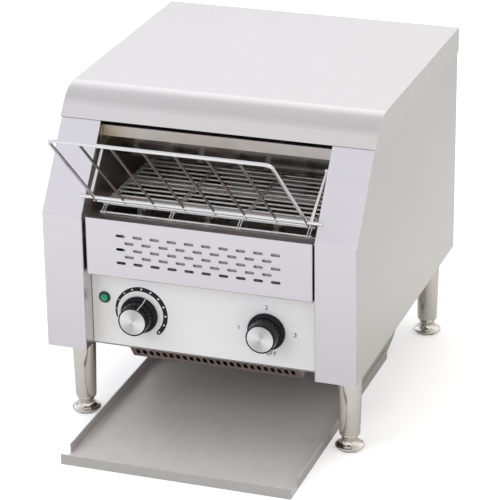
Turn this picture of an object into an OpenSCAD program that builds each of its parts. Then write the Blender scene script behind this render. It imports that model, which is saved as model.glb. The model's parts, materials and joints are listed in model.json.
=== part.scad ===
// Conveyor toaster: a stainless body on four legs, a wire feed rack, a mesh conveyor between two banks of
// quartz heaters, a curved chute below the back and a loose tray that brings the toast out at the front.
// X runs across, Y from the front to the back and Z up. The floor is Z = 0, and the finished model is centred
// in X and Y. Inside the modules Y = 0 is the plane of the front flanges, and seat() sets that in place.

/* [Body] */
// Overall width, across the top cover
body_w = 368; // [350:1:420]
// Depth from the front flanges to the back of the top cover
body_d = 418; // [400:1:480]
// Height of the top above the counter
body_h = 387; // [384:1:420]
// Height of the underside of the body above the counter
body_clear = 103.2; // [98:0.1:106]
// Thickness of the outer stainless sheets
sheet = 1.2; // [0.8:0.1:1.5]
// Thickness of the inner sheets
thin = 1; // [0.8:0.1:1.2]
// Height at which the front starts to slope back
knee_z = 265.7; // [262:0.1:270]
// Angle of the sloped front from the horizontal
slope_deg = 53.8; // [52:0.1:56]
// Outer radius of the top cover's front bend
cover_r = 43; // [36:1:50]
// Height of the top cover's side and back skirts
skirt_h = 30.4; // [22:0.1:34]
// Depth of the lip folded in under the front edge of the cover
lip_d = 8; // [5:0.5:10]
// Room beside the toasting chamber, from the outer face of the cover to the inner wall
side_bay = 45.2; // [43:0.1:48]
// How far the returns of the front flanges stand inside the inner walls
wall_lap = 3.5; // [2:0.1:4]
// Depth of the returns folded back from the front flanges
return_d = 25; // [22:1:28]
// Width of the flanges folded in at the bottom and the back of each side
side_flange = 14; // [10:1:18]

/* [Panels] */
// Setback of the vent panel behind the front flanges
vent_set = 3; // [1:0.5:5]
// Height of the vent panel's lower edge
vent_z = 196; // [194:1:200]
// Gap between the vent panel and each front flange
vent_gap = 2.8; // [1:0.1:4]
// Depth of the vent panel's folded edges
vent_fold = 19; // [12:1:19]
// Length of a vent slot
slot_l = 11; // [8:0.5:14]
// Height of a vent slot
slot_h = 3.2; // [2:0.1:5]
// Distance between slots in a row
slot_pitch = 20.1; // [16:0.1:21]
// Distance between rows of slots
row_pitch = 8.1; // [6:0.1:9]
// Height of the middle row of slots
slot_mid_z = 230.7; // [228:0.1:233]
// Slots in the longer rows
slot_count = 10; // [6:1:11]
// Setback of the control panel behind the front flanges
panel_set = 22; // [20:0.5:23]
// Height of the control panel's upper edge
panel_top = 206; // [204:0.5:207]
// Depth of the control panel's folded edges
panel_fold = 10; // [8:1:12]
// Depth of the control compartment behind the control panel
compartment_d = 176; // [170:1:185]

/* [Knobs and lamp] */
// Height of both knobs
knob_z = 145.7; // [144:0.1:147]
// Distance of the speed knob from the left flange
speed_in = 57.2; // [52:0.1:59]
// Distance of the selector knob from the right flange
selector_in = 62.4; // [58:0.1:65]
// Radius of a knob's skirt
knob_r = 22; // [18:0.5:23]
// Radius of a knob's grip at the front
grip_r = 17; // [13:0.1:17.5]
// Length of a knob
knob_l = 22.5; // [16:0.1:24]
// Radius of a spindle
spindle_r = 3; // [2.5:0.1:3.5]
// Radius of a spindle's threaded collar
collar_r = 4.75; // [4:0.05:5]
// Running clearance round spindles, shafts, foot studs and rack pins
run_fit = 0.05; // [0.02:0.01:0.09]
// Gap between pieces that move past each other
gap = 0.4; // [0.3:0.05:0.5]
// Distance of the lamp from the left flange
lamp_in = 15.4; // [11.5:0.1:18]
// Height of the lamp
lamp_z = 161.7; // [158:0.1:170]
// Radius of the lamp's bezel
lamp_r = 6.9; // [6:0.1:8]

/* [Conveyor] */
// Radius of the conveyor's rod centres round its ends
belt_r = 25; // [24:0.5:25.5]
// Clearance between the conveyor and each inner wall
belt_side = 14.4; // [11:0.1:18]
// Height of the rod centres above the knee
belt_rise = 4; // [2:0.5:5]
// Radius of a conveyor rod
rod_r = 1.2; // [1:0.1:1.4]
// Rods in the conveyor
rod_count = 60; // [50:1:66]
// Depth of the front shaft behind the front flanges
front_shaft = 45; // [44:0.5:48]
// Free space behind the conveyor, where the toast drops
drop_gap = 44; // [40:1:50]
// Radius of the conveyor shafts
shaft_r = 6; // [5:0.1:7]
// Distance between the conveyor's rows of links
link_pitch = 80; // [56:1:80]
// Teeth on the driven sprocket
shaft_teeth = 18; // [15:1:18]
// Teeth on the motor sprocket
motor_teeth = 12; // [10:1:14]
// Pitch of the drive chain
chain_pitch = 8; // [7:0.1:8.5]
// Thickness of the drive chain's sprockets
sprocket_t = 3; // [2:0.1:4]
// Height of the motor shaft
motor_z = 150; // [148:0.5:156]
// Depth of the motor shaft behind the front flanges
motor_y = 100; // [96:1:110]

/* [Heaters] */
// Radius of a heater tube
tube_r = 5; // [4:0.1:6]
// Upper heater tubes
upper_tubes = 5; // [3:1:5]
// Lower heater tubes
lower_tubes = 4; // [2:1:4]
// Height of the upper tubes above the conveyor rods
tube_rise = 52; // [48:1:54]
// Depth of the first upper tube behind the front flanges
first_tube = 128; // [124:1:135]

/* [Rack] */
// Radius of the rack's frame wire
wire_r = 2.2; // [2:0.1:2.5]
// Radius of the rack's rungs
rung_r = 1.5; // [1:0.1:1.8]
// Rungs between the arms
rung_count = 6; // [4:1:8]
// Distance of each rack arm's centre from the flange beside it
rack_side = 11.9; // [9.5:0.1:13]
// Overhang of the foot bar beyond each arm
bar_reach = 17.6; // [14:0.1:22]
// Height of the foot bar above the knee
rack_rise = 20.4; // [18:0.1:24]
// Length of the arms
arm_l = 160.6; // [150:0.1:175]
// Slope of the arms from the horizontal
arm_deg = 42.6; // [38:0.1:46]
// Bend radius at the top corners
rack_bend = 8; // [6:1:20]
// Height of the rack's pivot above the knee
pivot_rise = 62.8; // [58:0.1:66]
// Setback of the rack's pivot from the sloped front
pivot_set = 11.3; // [9:0.1:13]

/* [Legs] */
// Distance of the legs' centres from the sides of the cover
leg_inset = 23.5; // [21:0.5:25]
// Depth of the front legs behind the front flanges
leg_front = 51.9; // [46:0.1:56]
// Distance between the front and back legs
leg_span_y = 329.4; // [325:0.1:340]
// Radius of a leg where it meets the body
leg_top_r = 14.2; // [13:0.1:15]
// Radius of a leg at its lower end
leg_low_r = 12; // [11:0.1:13]
// Radius of a leg's neck
neck_r = 9; // [8:0.1:10]
// Radius of a foot's flange
foot_r = 16.8; // [15:0.1:18]
// Height of a foot
foot_h = 12.6; // [10:0.1:15]
// Radius of a foot's threaded stud
stud_r = 4; // [3:0.1:5]

/* [Tray and chute] */
// Clearance between the tray and the planes of the inner walls
tray_side = 3.6; // [1.8:0.1:4]
// Reach of the tray in front of the front flanges
tray_reach = 84.4; // [70:0.1:120]
// Depth of the tray behind the front flanges
tray_back = 290; // [270:1:300]
// Height of the tray's rim
tray_h = 12.5; // [8:0.5:20]
// Depth of the open notches at the tray's front corners
notch_d = 27; // [20:1:35]
// Radius of the chute's curve
chute_r = 168; // [166:1:172]
// Depth of the front edge of the chute's cheeks behind the front flanges
cheek_front = 188; // [184:1:200]

/* [Hidden] */
$fn = 48;

// Body
chamber_w = body_w - 2 * side_bay;          // distance between the inner walls
mouth_w = chamber_w - 2 * wall_lap;         // distance between the front flanges
side_out = body_w / 2 - sheet;              // outer face of the side panels
side_in = side_out - sheet;                 // inner face of the side panels
flange_in = mouth_w / 2;                    // inner edge of the front flanges
rear_in = body_d - 2 * sheet;               // inner face of the rear panel
rear_out = rear_in + sheet;                 // outer face of the rear panel
top_in = body_h - sheet;                    // underside of the top cover
cover_edge = body_h - skirt_h;              // lower edge of the top cover
plate_z = body_clear + sheet;               // upper face of the bottom plate
wall_in = chamber_w / 2;                    // inner face of the inner walls
wall_out = wall_in + thin;
bend_r = cover_r - sheet;
bend_z = top_in - bend_r;
bend_y = (bend_r + (bend_z - knee_z) * cos(slope_deg)) / sin(slope_deg);
gland_x = -(side_in - side_flange + wall_out) / 2;
gland_z = body_clear + 47;
gland_r = 9;
gland_bore = 4.5;
gland_hex = 24;
gland_l = 14;
arm_r = wire_r - 0.2;                       // radius of the rack's arms and top bar
rack_top = [slope_y(rack_rise) - (wire_r + gap) / sin(slope_deg) - arm_l * cos(arm_deg),
    knee_z + rack_rise + arm_l * sin(arm_deg)];
front_most = rack_top[0] - arm_r;
rear_most = rear_out + gland_l;
origin_y = (front_most + rear_most) / 2;    // depth of the model's middle behind the front flanges

// Conveyor and drive
belt_w = chamber_w - 2 * belt_side;
shaft_z = knee_z + belt_rise - belt_r;
rear_shaft = rear_in - drop_gap - belt_r - rod_r;
link_t = 1.6;                               // thickness of a link, across the conveyor's surface
link_w = 2.4;
link_play = 0.2;                            // gap between a link and the next rod
tooth_r = belt_r - rod_r - gap;             // tips of the conveyor sprockets' teeth
sprocket_w = 6;
shaft_past = 8;                             // how far a shaft passes the outer face of an inner wall
bush = [3, 6, 2, 5];                        // a bushing's wall, flange width, flange thickness and end
link_count = floor((belt_w - 8) / link_pitch);
link_first = -link_count * link_pitch / 2;
shaft_pitch_r = chain_pitch / 2 / sin(180 / shaft_teeth);
motor_pitch_r = chain_pitch / 2 / sin(180 / motor_teeth);
chain_clear = 2.2;                          // radial room between a sprocket's tips and the chain
chain_t = 4.4;
chain_x = wall_out + 15;                    // middle of the chain's plane
shaft_end = chain_x + sprocket_t;
motor_shaft_r = 5;
motor_shaft_in = wall_in - 14;              // inner end of the motor's output shaft
motor_nose_r = 10;                          // boss round that shaft

// The bright strip and the mirror plate above the feed mouth
strip_gap = 4.5;                            // room between the cover's lip and the strip
strip_h = 14.7;
strip_set = 7.5;                            // how far the strip stands back from the sloped front
strip_z = [cover_edge - strip_gap - strip_h, cover_edge - strip_gap];
strip_y = slope_y(strip_z[1] - knee_z) + strip_set;
strip_back = strip_y + 26.5;
deflector_low = [strip_y + 12, knee_z + 46.3];

// Heaters
upper_z = shaft_z + belt_r + tube_rise;
upper_pitch = (rear_shaft - first_tube) / (upper_tubes - 1);
lower_pitch = (rear_shaft - front_shaft) / (lower_tubes + 1);
ceiling_z = strip_z[1] - thin;              // underside of the ceiling reflector
lower_z = shaft_z + 3;
cap_l = 16;
cap_r = tube_r + 2.2;
tube_places = concat(
    [for (i = [0:upper_tubes - 1]) [first_tube + i * upper_pitch, upper_z]],
    [for (i = [1:lower_tubes]) [front_shaft + i * lower_pitch, lower_z]]);

// Panels
control_y = panel_set + sheet;              // back of the control panel
shield_y = control_y + compartment_d;
shield_z = panel_top;
vent_w = mouth_w - 2 * vent_gap;
vent_top = knee_z - 0.7;

// Knobs and lamp
speed_x = speed_in - flange_in;
selector_x = flange_in - selector_in;
lamp_x = lamp_in - flange_in;
knob_base = panel_set - gap;
cap_t = 1.2;

// Rack
rack_w = mouth_w - 2 * rack_side;           // distance between the centres of the arms
foot_bar = [slope_y(rack_rise) - (wire_r + gap) / sin(slope_deg), knee_z + rack_rise];
pivot = [slope_y(pivot_rise) + pivot_set / sin(slope_deg), knee_z + pivot_rise];
hook_x = flange_in - wire_r - 1.6;
hook_step = 4.5;                            // distance between an arm and its hook on the foot bar
hook_r = wire_r - 0.3;
pin_r = wire_r - 0.4;
pin_reach = 1.4;                            // how far a rack pin passes beyond the front return
heel_drop = 8.5;                            // distance from the foot bar down to the heel bar
heel_r = rung_r + 0.3;

// Legs
leg_lift = foot_h + gap;                    // lower end of the legs
plinth_z = leg_lift + 7;
nut_h = 6.5;
nut_af = 13;
stud_l = 30;                                // how far a foot's stud reaches into its leg
stud_room = 10;                             // free depth above the stud

// Tray and chute
tray_w = chamber_w - 2 * tray_side;
chute_t = sheet;
cheek_x = tray_w / 2 - sheet - 0.6;         // outer face of the chute's cheeks
chute_z = sheet + 0.6;                      // underside of the chute where it meets the tray
chute_centre = [
    rear_in - sqrt(chute_r * chute_r - pow(chute_r + chute_z - body_clear, 2)), chute_r + chute_z];

// Depth on the sloped front at a height above the knee
function slope_y(rise) = rise / tan(slope_deg);

// ---------------------------------------------------------------- helpers

// Sets the model's Y = 0 from the front flanges to the middle of its length
module seat() translate([0, -origin_y, 0]) children();

// Extrudes a (depth, height) outline across X
module across(x0, x1) translate([x0, 0, 0]) rotate([90, 0, 90]) linear_extrude(x1 - x0) children();

// Extrudes an (x, height) outline from depth y0 to y1
module facing(y0, y1) translate([0, y1, 0]) rotate([90, 0, 0]) linear_extrude(y1 - y0) children();

module both_sides() {
    children();
    mirror([1, 0, 0]) children();
}

// A box from one corner to the other
module span(a, b) translate(a) cube(b - a);

// A rod or disc along X
module rod(x0, x1, y, z, r) translate([x0, y, z]) rotate([0, 90, 0]) cylinder(h = x1 - x0, r = r);

// A rod or disc along Y
module bolt(x, z, y0, y1, r, r2 = 0)
    translate([x, y1, z]) rotate([90, 0, 0]) cylinder(h = y1 - y0, r1 = r, r2 = r2 > 0 ? r2 : r);

// A round wire between two points
module wire(a, b, r) {
    v = b - a;
    translate(a) rotate([0, acos(v[2] / norm(v)), atan2(v[1], v[0])]) cylinder(h = norm(v), r = r);
}

// The side outline of the body, inset from its outer faces
module profile(inset, low, back) {
    r = bend_r - inset;
    polygon([
        [inset, low], [inset, knee_z - inset * tan(45 - slope_deg / 2)],
        [bend_y - r * sin(slope_deg), bend_z + r * cos(slope_deg)],
        [bend_y, bend_z + r], [back, bend_z + r], [back, low]]);
    translate([bend_y, bend_z]) circle(r);
}

// The front edge of that outline as a strip, for the flanges and returns
module front_band(depth, high) intersection() {
    difference() {
        profile(0, body_clear, rear_in);
        profile(depth, body_clear - 1, rear_in + 1);
    }
    translate([-1, body_clear]) square([bend_y, high - body_clear]);
}

// A closed loop round two circles, for the conveyor and its chain
module loop2d(a, ra, b, rb) {
    v = b - a;
    lean = acos((ra - rb) / norm(v));
    way = atan2(v[1], v[0]);
    translate(a) circle(ra);
    translate(b) circle(rb);
    polygon([
        a + ra * [cos(way + lean), sin(way + lean)], b + rb * [cos(way + lean), sin(way + lean)],
        b + rb * [cos(way - lean), sin(way - lean)], a + ra * [cos(way - lean), sin(way - lean)]]);
}

module rounded_slot(l, h) {
    square([l - h, h], center = true);
    for (s = [-1, 1]) translate([s * (l - h) / 2, 0]) circle(d = h);
}

// A pan-head screw whose head sits on a face at z = 0
module pan_screw(r, l) {
    cylinder(h = r * 0.9, r1 = r * 1.9, r2 = r * 1.5);
    translate([0, 0, -l]) cylinder(h = l, r = r);
}

// ---------------------------------------------------------------- body sheets

rear_screw_zs = [body_clear + 24, (body_clear + cover_edge) / 2, cover_edge - 24];
screw_r = 1.8;
screw_l = 8;
screw_hole = screw_r + 0.2;

module side_panel() difference() {
    union() {
        across(side_in, side_out) profile(0, body_clear, rear_in);
        across(flange_in, side_out) front_band(sheet, cover_edge + 8);
        across(flange_in, flange_in + sheet) front_band(return_d, cover_edge - 1);
        span([side_in - side_flange, rear_in - sheet, body_clear], [side_in, rear_in, cover_edge + 8]);
    }
    rod(flange_in - 1, flange_in + sheet + 1, pivot[0], pivot[1], pin_r + run_fit);
    for (z = rear_screw_zs) bolt(side_in - side_flange / 2, z, rear_in - 3, rear_in + 1, screw_hole);
}

module side_panel_left() color("lightgray") seat() mirror([1, 0, 0]) side_panel();
module side_panel_right() color("lightgray") seat() side_panel();

module top_cover() color("gainsboro") seat() {
    lip_w = mouth_w - 2 * gap;
    difference() {
        across(-body_w / 2, body_w / 2) intersection() {
            profile(-sheet, body_clear, body_d);
            translate([0, cover_edge]) square([body_d + 1, body_h]);
        }
        across(-side_out, side_out) profile(0, body_clear - 1, rear_out);
    }
    across(-lip_w / 2, lip_w / 2) intersection() {
        profile(-sheet, body_clear, body_d);
        translate([0, cover_edge]) square([slope_y(cover_edge - knee_z) + lip_d, sheet]);
    }
}

// The back closes the body and lets the heat out through louvre slots
louvre_zs = [for (i = [0:5]) body_clear + 128 + 16 * i];
louvre_l = 46;
louvre_h = 4;

module rear_panel() color("silver") seat() facing(rear_in, rear_out) difference() {
    translate([-side_out, body_clear]) square([2 * side_out, cover_edge + 8 - body_clear]);
    for (z = louvre_zs, x = [-1.5:1:1.5])
        translate([x * (louvre_l + 14), z]) rounded_slot(louvre_l, louvre_h);
    for (z = rear_screw_zs, s = [-1, 1]) translate([s * (side_in - side_flange / 2), z]) circle(screw_hole);
    translate([gland_x, gland_z]) circle(gland_r + run_fit);
}

fan_w = 80;
fan_x = 4;
fan_y = control_y + panel_fold + gap + fan_w / 2;
fan_hole_r = 37;
leg_x = body_w / 2 - leg_inset;
leg_ys = [leg_front, leg_front + leg_span_y];
chute_mouth = rear_shaft - 8;               // front edge of the opening that the toast drops through
plate_screws = [for (s = [-1, 1], k = [0.22, 0.45, 0.68])
    [s * (side_in - side_flange / 2), leg_front + k * leg_span_y]];

module bottom_plate() color("silver") seat() translate([0, 0, body_clear]) linear_extrude(sheet)
    difference() {
        union() {
            translate([-side_in, return_d]) square([2 * side_in, rear_in - sheet - return_d]);
            translate([-flange_in, panel_set]) square([mouth_w, return_d - panel_set]);
        }
        translate([-wall_in, chute_mouth]) square([2 * wall_in, rear_in]);
        translate([fan_x, fan_y]) circle(fan_hole_r);
        for (s = [-1, 1], y = leg_ys) translate([s * leg_x, y]) circle(stud_r + run_fit);
        for (p = plate_screws) translate(p) circle(screw_hole);
    }

ear_z = panel_top + thin + gap;
ear_h = 30;

module vent_panel() color("lightsteelblue") seat() {
    tilt = 1.6;
    facing(vent_set, vent_set + sheet) difference() {
        translate([-vent_w / 2, vent_z]) square([vent_w, vent_top - vent_z]);
        for (row = [-2:2]) {
            n = slot_count - abs(row) % 2;
            for (i = [0:n - 1])
                translate([(i - (n - 1) / 2) * slot_pitch, slot_mid_z + row * row_pitch])
                    rounded_slot(slot_l, slot_h);
        }
    }
    across(-vent_w / 2, vent_w / 2) {
        polygon([
            [vent_set, vent_top], [vent_set + vent_fold, vent_top - tilt],
            [vent_set + vent_fold, vent_top - tilt - sheet], [vent_set, vent_top - sheet]]);
        translate([vent_set, vent_z]) square([panel_set - vent_set, sheet]);
    }
    // ears that reach behind the returns of the front flanges
    both_sides() {
        span([vent_w / 2 - sheet, vent_set, ear_z], [vent_w / 2, return_d + sheet, ear_z + ear_h]);
        span([vent_w / 2 - sheet, return_d, ear_z], [wall_in, return_d + sheet, ear_z + ear_h]);
    }
}

module control_panel() color("whitesmoke") seat() {
    w = mouth_w - 2 * gap;
    facing(panel_set, control_y) difference() {
        translate([-w / 2, plate_z]) square([w, panel_top - plate_z]);
        for (x = [speed_x, selector_x]) translate([x, knob_z]) circle(collar_r);
        translate([lamp_x, lamp_z]) circle(lamp_r - 1.6);
    }
    for (z = [plate_z, panel_top - sheet])
        span([-w / 2, control_y, z], [w / 2, control_y + panel_fold, z + sheet]);
}

// The air inlet below the fan: a perforated scoop with closed ends
guard_x = [42 - flange_in, flange_in - 25.6];
guard_low = [37, body_clear - 17.2];
guard_back = 118;
hole_count = 24;
hole_in = 8.8;                              // distance of the first and last slots from the guard's ends
hole_w = 4.6;
hole_l = 11;

module perforated_guard() color("gray") seat() difference() {
    union() {
        across(guard_x[0], guard_x[1]) difference() {
            guard_outline(0);
            guard_outline(thin);
        }
        for (x = [guard_x[0], guard_x[1] - thin]) across(x, x + thin) guard_outline(0);
    }
    // a row of slots, and the ends of a staggered row above it
    reach = guard_low[0] - panel_set - 2;
    drop = body_clear - guard_low[1];
    pitch = (guard_x[1] - guard_x[0] - 2 * hole_in) / (hole_count - 1);
    for (i = [0:hole_count - 1], k = [0, 1]) if (i + k < hole_count)
        translate([guard_x[0] + hole_in + (i + k / 2) * pitch, panel_set + 2, body_clear])
            rotate([atan2(reach, drop), 0, 0]) facing(-3, 3)
                translate([0, k == 0 ? -0.49 * norm([reach, drop]) : hole_l / 2 - hole_w])
                    rotate(90) rounded_slot(hole_l, hole_w);
    for (x = [guard_x[0] + 14:16:guard_x[1] - 14], y = [50, 66, 82])
        translate([x, y, guard_low[1] - 2]) cylinder(h = 16, r = 4);
}

module guard_outline(inset) {
    s = inset * 1.4;
    polygon([
        [panel_set + 2 + s, body_clear + inset * 0.02], [guard_low[0] + s * 0.35, guard_low[1] + inset],
        [guard_back - s * 4, body_clear + inset * 0.02]]);
}

// A bright strip and a mirror plate close the front above the feed mouth
module feed_deflector() color("gainsboro") seat() {
    w = mouth_w - 2 * gap;
    across(-w / 2, w / 2) polygon([
        [strip_back, strip_z[1]], [strip_y, strip_z[1]], [strip_y, strip_z[0]], deflector_low,
        deflector_low + [thin, 0], [strip_y + thin, strip_z[0] + thin * 0.2],
        [strip_y + thin, strip_z[1] - thin], [strip_back, strip_z[1] - thin]]);
}

// ---------------------------------------------------------------- toasting chamber

module inner_wall() difference() {
    across(wall_in, wall_out) intersection() {
        profile(return_d + sheet, plate_z, rear_in);
        translate([0, plate_z]) square([rear_in, ceiling_z + thin - plate_z]);
    }
    for (y = [front_shaft, rear_shaft]) rod(wall_in - 1, wall_out + 1, y, shaft_z, shaft_r + bush[0]);
    for (p = tube_places) rod(wall_in - 1, wall_out + 1, p[0], p[1], cap_r);
    rod(wall_in - 1, wall_out + 1, motor_y, motor_z, motor_nose_r + 2);
}

module inner_wall_left() color("silver") seat() mirror([1, 0, 0]) inner_wall();
module inner_wall_right() color("silver") seat() inner_wall();

module heat_shield() color("silver") seat() {
    span([-flange_in, control_y, shield_z], [flange_in, shield_y, shield_z + thin]);
    span([-wall_in, return_d, shield_z], [wall_in, shield_y, shield_z + thin]);
    span([-wall_in, shield_y - thin, plate_z], [wall_in, shield_y, shield_z + thin]);
    span([-wall_in, shield_y, plate_z], [wall_in, shield_y + 12, plate_z + thin]);
}

module ceiling_reflector() color("gainsboro") seat() {
    back = rear_in - drop_gap;
    span([-wall_in, strip_back, ceiling_z], [wall_in, back, ceiling_z + thin]);
    span([-wall_in, back - thin, deflector_low[1]], [wall_in, back, ceiling_z + thin]);
}

reflector_drop = 11;                        // how far its floor lies below the shafts
reflector_lip = 8;
reflector_gap = 4;                          // room between its edges and the sprockets

module lower_reflector() color("gainsboro") seat() {
    low = shaft_z - reflector_drop;
    high = low + reflector_lip;
    front = front_shaft + tooth_r + reflector_gap;
    back = rear_shaft - tooth_r - reflector_gap;
    across(-wall_in, wall_in) polygon([
        [front, high], [front + reflector_lip, low], [back - reflector_lip, low], [back, high],
        [back - thin, high + thin], [back - reflector_lip - thin / 2, low + thin],
        [front + reflector_lip + thin / 2, low + thin], [front + thin, high + thin]]);
}

module upper_heaters() color("mistyrose") seat()
    for (i = [0:upper_tubes - 1]) heater_tube(tube_places[i]);

module lower_heaters() color("mistyrose") seat()
    for (i = [0:lower_tubes - 1]) heater_tube(tube_places[upper_tubes + i]);

module heater_tube(p) rod(-wall_out - cap_l / 2, wall_out + cap_l / 2, p[0], p[1], tube_r);

// Ceramic caps hold the tubes in the inner walls, with a screw terminal on each
module heater_caps() color("ivory") seat() both_sides() for (p = tube_places) difference() {
    union() {
        rod(wall_in - 2, wall_out + cap_l, p[0], p[1], cap_r);
        rod(wall_out, wall_out + 3, p[0], p[1], cap_r + 2);
        rod(wall_out + cap_l, wall_out + cap_l + 6, p[0], p[1], 1.6);
    }
    rod(wall_in - 3, wall_out + cap_l / 2, p[0], p[1], tube_r);
}

// ---------------------------------------------------------------- conveyor and drive

straight = rear_shaft - front_shaft;
loop_l = 2 * straight + 2 * PI * belt_r;

// A point on the line of the rod centres, at a distance along the loop
function loop_at(s) =
    s < straight ? [front_shaft + s, shaft_z + belt_r]
    : s < straight + PI * belt_r
        ? let (a = 90 - (s - straight) / belt_r * 180 / PI)
            [rear_shaft + belt_r * cos(a), shaft_z + belt_r * sin(a)]
    : s < 2 * straight + PI * belt_r ? [rear_shaft - (s - straight - PI * belt_r), shaft_z - belt_r]
    : let (a = 270 - (s - 2 * straight - PI * belt_r) / belt_r * 180 / PI)
        [front_shaft + belt_r * cos(a), shaft_z + belt_r * sin(a)];

// The conveyor is a chain of strands: each is a cross rod with links that reach to the next rod
module conveyor_belt() color("dimgray") seat() for (i = [0:rod_count - 1])
    belt_strand(loop_at((i + 0.5) * loop_l / rod_count), loop_at((i + 1.5) % rod_count * loop_l / rod_count));

module belt_strand(p, q) {
    v = q - p;
    rod(-belt_w / 2, belt_w / 2, p[0], p[1], rod_r);
    for (k = [0:link_count]) translate([link_first + k * link_pitch, p[0], p[1]])
        rotate([atan2(v[1], v[0]), 0, 0]) translate([-link_w / 2, 0, -link_t / 2])
            cube([link_w, norm(v) - rod_r - link_play, link_t]);
}

module toothed(r, root, teeth, t) rotate([90, 0, 90]) linear_extrude(t, center = true) {
    circle(root);
    for (i = [0:teeth - 1]) rotate(i * 360 / teeth)
        polygon([
            [0, -root * 3.0 / teeth], [r, -root * 0.9 / teeth],
            [r, root * 0.9 / teeth], [0, root * 3.0 / teeth]]);
}

module belt_sprockets(y) for (i = [0:link_count - 1])
    translate([link_first + (i + 0.5) * link_pitch, y, shaft_z]) difference() {
        union() {
            toothed(tooth_r, tooth_r - 5, 10, sprocket_w);
            rod(-sprocket_w, sprocket_w, 0, 0, shaft_r + 5);
        }
        rod(-sprocket_w - 1, sprocket_w + 1, 0, 0, shaft_r);
    }

module front_sprockets() color("dimgray") seat() belt_sprockets(front_shaft);
module rear_sprockets() color("dimgray") seat() belt_sprockets(rear_shaft);

module front_shaft_rod() color("darkgray") seat()
    rod(-wall_out - shaft_past, shaft_end, front_shaft, shaft_z, shaft_r);
module rear_shaft_rod() color("darkgray") seat()
    rod(-wall_out - shaft_past, wall_out + shaft_past, rear_shaft, shaft_z, shaft_r);

module shaft_bushings() color("goldenrod") seat() both_sides() for (y = [front_shaft, rear_shaft])
    difference() {
        union() {
            rod(wall_in - bush[0], wall_out + bush[3], y, shaft_z, shaft_r + bush[0]);
            rod(wall_out, wall_out + bush[2], y, shaft_z, shaft_r + bush[1]);
        }
        rod(wall_in - bush[0] - 1, wall_out + bush[3] + 1, y, shaft_z, shaft_r + run_fit);
    }

module chain_sprocket(x, y, z, teeth, pitch_r, bore) translate([x, y, z]) difference() {
    union() {
        toothed(pitch_r + 1.2, pitch_r - 2.4, teeth, sprocket_t);
        rod(-sprocket_t / 2 - 4, 0, 0, 0, bore + 4);
    }
    rod(-sprocket_t - 5, sprocket_t + 5, 0, 0, bore);
}

module driven_sprocket() color("gray") seat()
    chain_sprocket(chain_x, front_shaft, shaft_z, shaft_teeth, shaft_pitch_r, shaft_r);

module motor_sprocket() color("gray") seat()
    chain_sprocket(chain_x, motor_y, motor_z, motor_teeth, motor_pitch_r, motor_shaft_r);

module motor_shaft() color("darkgray") seat() rod(motor_shaft_in, shaft_end, motor_y, motor_z, motor_shaft_r);

// The chain runs clear outside both sprockets' teeth, as a band with a plate on each side of the teeth
module drive_chain() color("dimgray") seat() {
    a = [front_shaft, shaft_z];
    b = [motor_y, motor_z];
    ra = shaft_pitch_r + chain_clear;
    rb = motor_pitch_r + chain_clear;
    across(chain_x - sprocket_t, chain_x + sprocket_t) difference() {
        loop2d(a, ra + chain_t, b, rb + chain_t);
        loop2d(a, ra, b, rb);
    }
}

gearbox = [26, 70, 62];
can_r = 25;
can_l = 56;
motor_face = wall_in - sheet;               // face of the gearbox against its bracket

module gear_motor() color("silver") seat() difference() {
    x = motor_face;
    union() {
        span([x - gearbox[0], motor_y - gearbox[1] / 2, motor_z - gearbox[2] / 2],
            [x, motor_y + gearbox[1] / 2, motor_z + gearbox[2] / 2]);
        rod(x - gearbox[0] - can_l, x - gearbox[0], motor_y, motor_z, can_r);
        rod(x - 1, wall_out + 4, motor_y, motor_z, motor_nose_r);
    }
    rod(motor_shaft_in - gap, wall_out + 5, motor_y, motor_z, motor_shaft_r + run_fit);
}

// An angle plate carries the gearbox beside the inner wall
bracket_lap = 5;                            // how far the plate passes the gearbox on each side
bracket_foot = 30;

module motor_bracket() color("silver") seat() difference() {
    x = motor_face;
    front = motor_y - gearbox[1] / 2 - bracket_lap;
    back = motor_y + gearbox[1] / 2 + bracket_lap;
    union() {
        span([x, front, plate_z], [x + sheet, back, motor_z + gearbox[2] / 2 + bracket_lap]);
        span([x - bracket_foot, front, plate_z], [x + sheet, back, plate_z + sheet]);
    }
    rod(x - 1, x + sheet + 1, motor_y, motor_z, motor_nose_r);
}

// ---------------------------------------------------------------- fan and electrics

fan_t = 20;
hub_t = 5;                                  // thickness of the fan's motor hub
blade_z = 2;                                // underside of the impeller above the bottom plate
blade_h = fan_t - hub_t - 2 * blade_z;
axle_r = 2.5;

module fan_frame() color("dimgray") seat() translate([fan_x, fan_y, plate_z]) {
    difference() {
        translate([-fan_w / 2, -fan_w / 2, 0]) cube([fan_w, fan_w, fan_t]);
        translate([0, 0, -1]) cylinder(h = fan_t + 2, r = fan_hole_r);
        for (x = [-1, 1], y = [-1, 1]) translate([x * 35.75, y * 35.75, -1]) cylinder(h = fan_t + 2, r = 2.2);
    }
    translate([0, 0, fan_t - hub_t]) cylinder(h = hub_t, r = 17);
    for (a = [45:90:315]) rotate(a) translate([0, -2, fan_t - 4]) cube([fan_hole_r + 1, 4, 4]);
    translate([0, 0, blade_z + blade_h / 2 + gap]) cylinder(h = fan_t / 2, r = axle_r);
}

module fan_impeller() color("black") seat() translate([fan_x, fan_y, plate_z + blade_z]) difference() {
    intersection() {
        union() {
            cylinder(h = blade_h, r = 16);
            for (i = [0:6]) rotate(i * 360 / 7) translate([14, 0, blade_h / 2]) rotate([35, 0, 0])
                translate([0, -0.7, -blade_h]) cube([fan_hole_r, 1.4, 2 * blade_h]);
        }
        cylinder(h = blade_h, r = fan_hole_r - 1.2);
    }
    translate([0, 0, blade_h / 2]) cylinder(h = blade_h, r = axle_r + run_fit);
}

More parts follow.
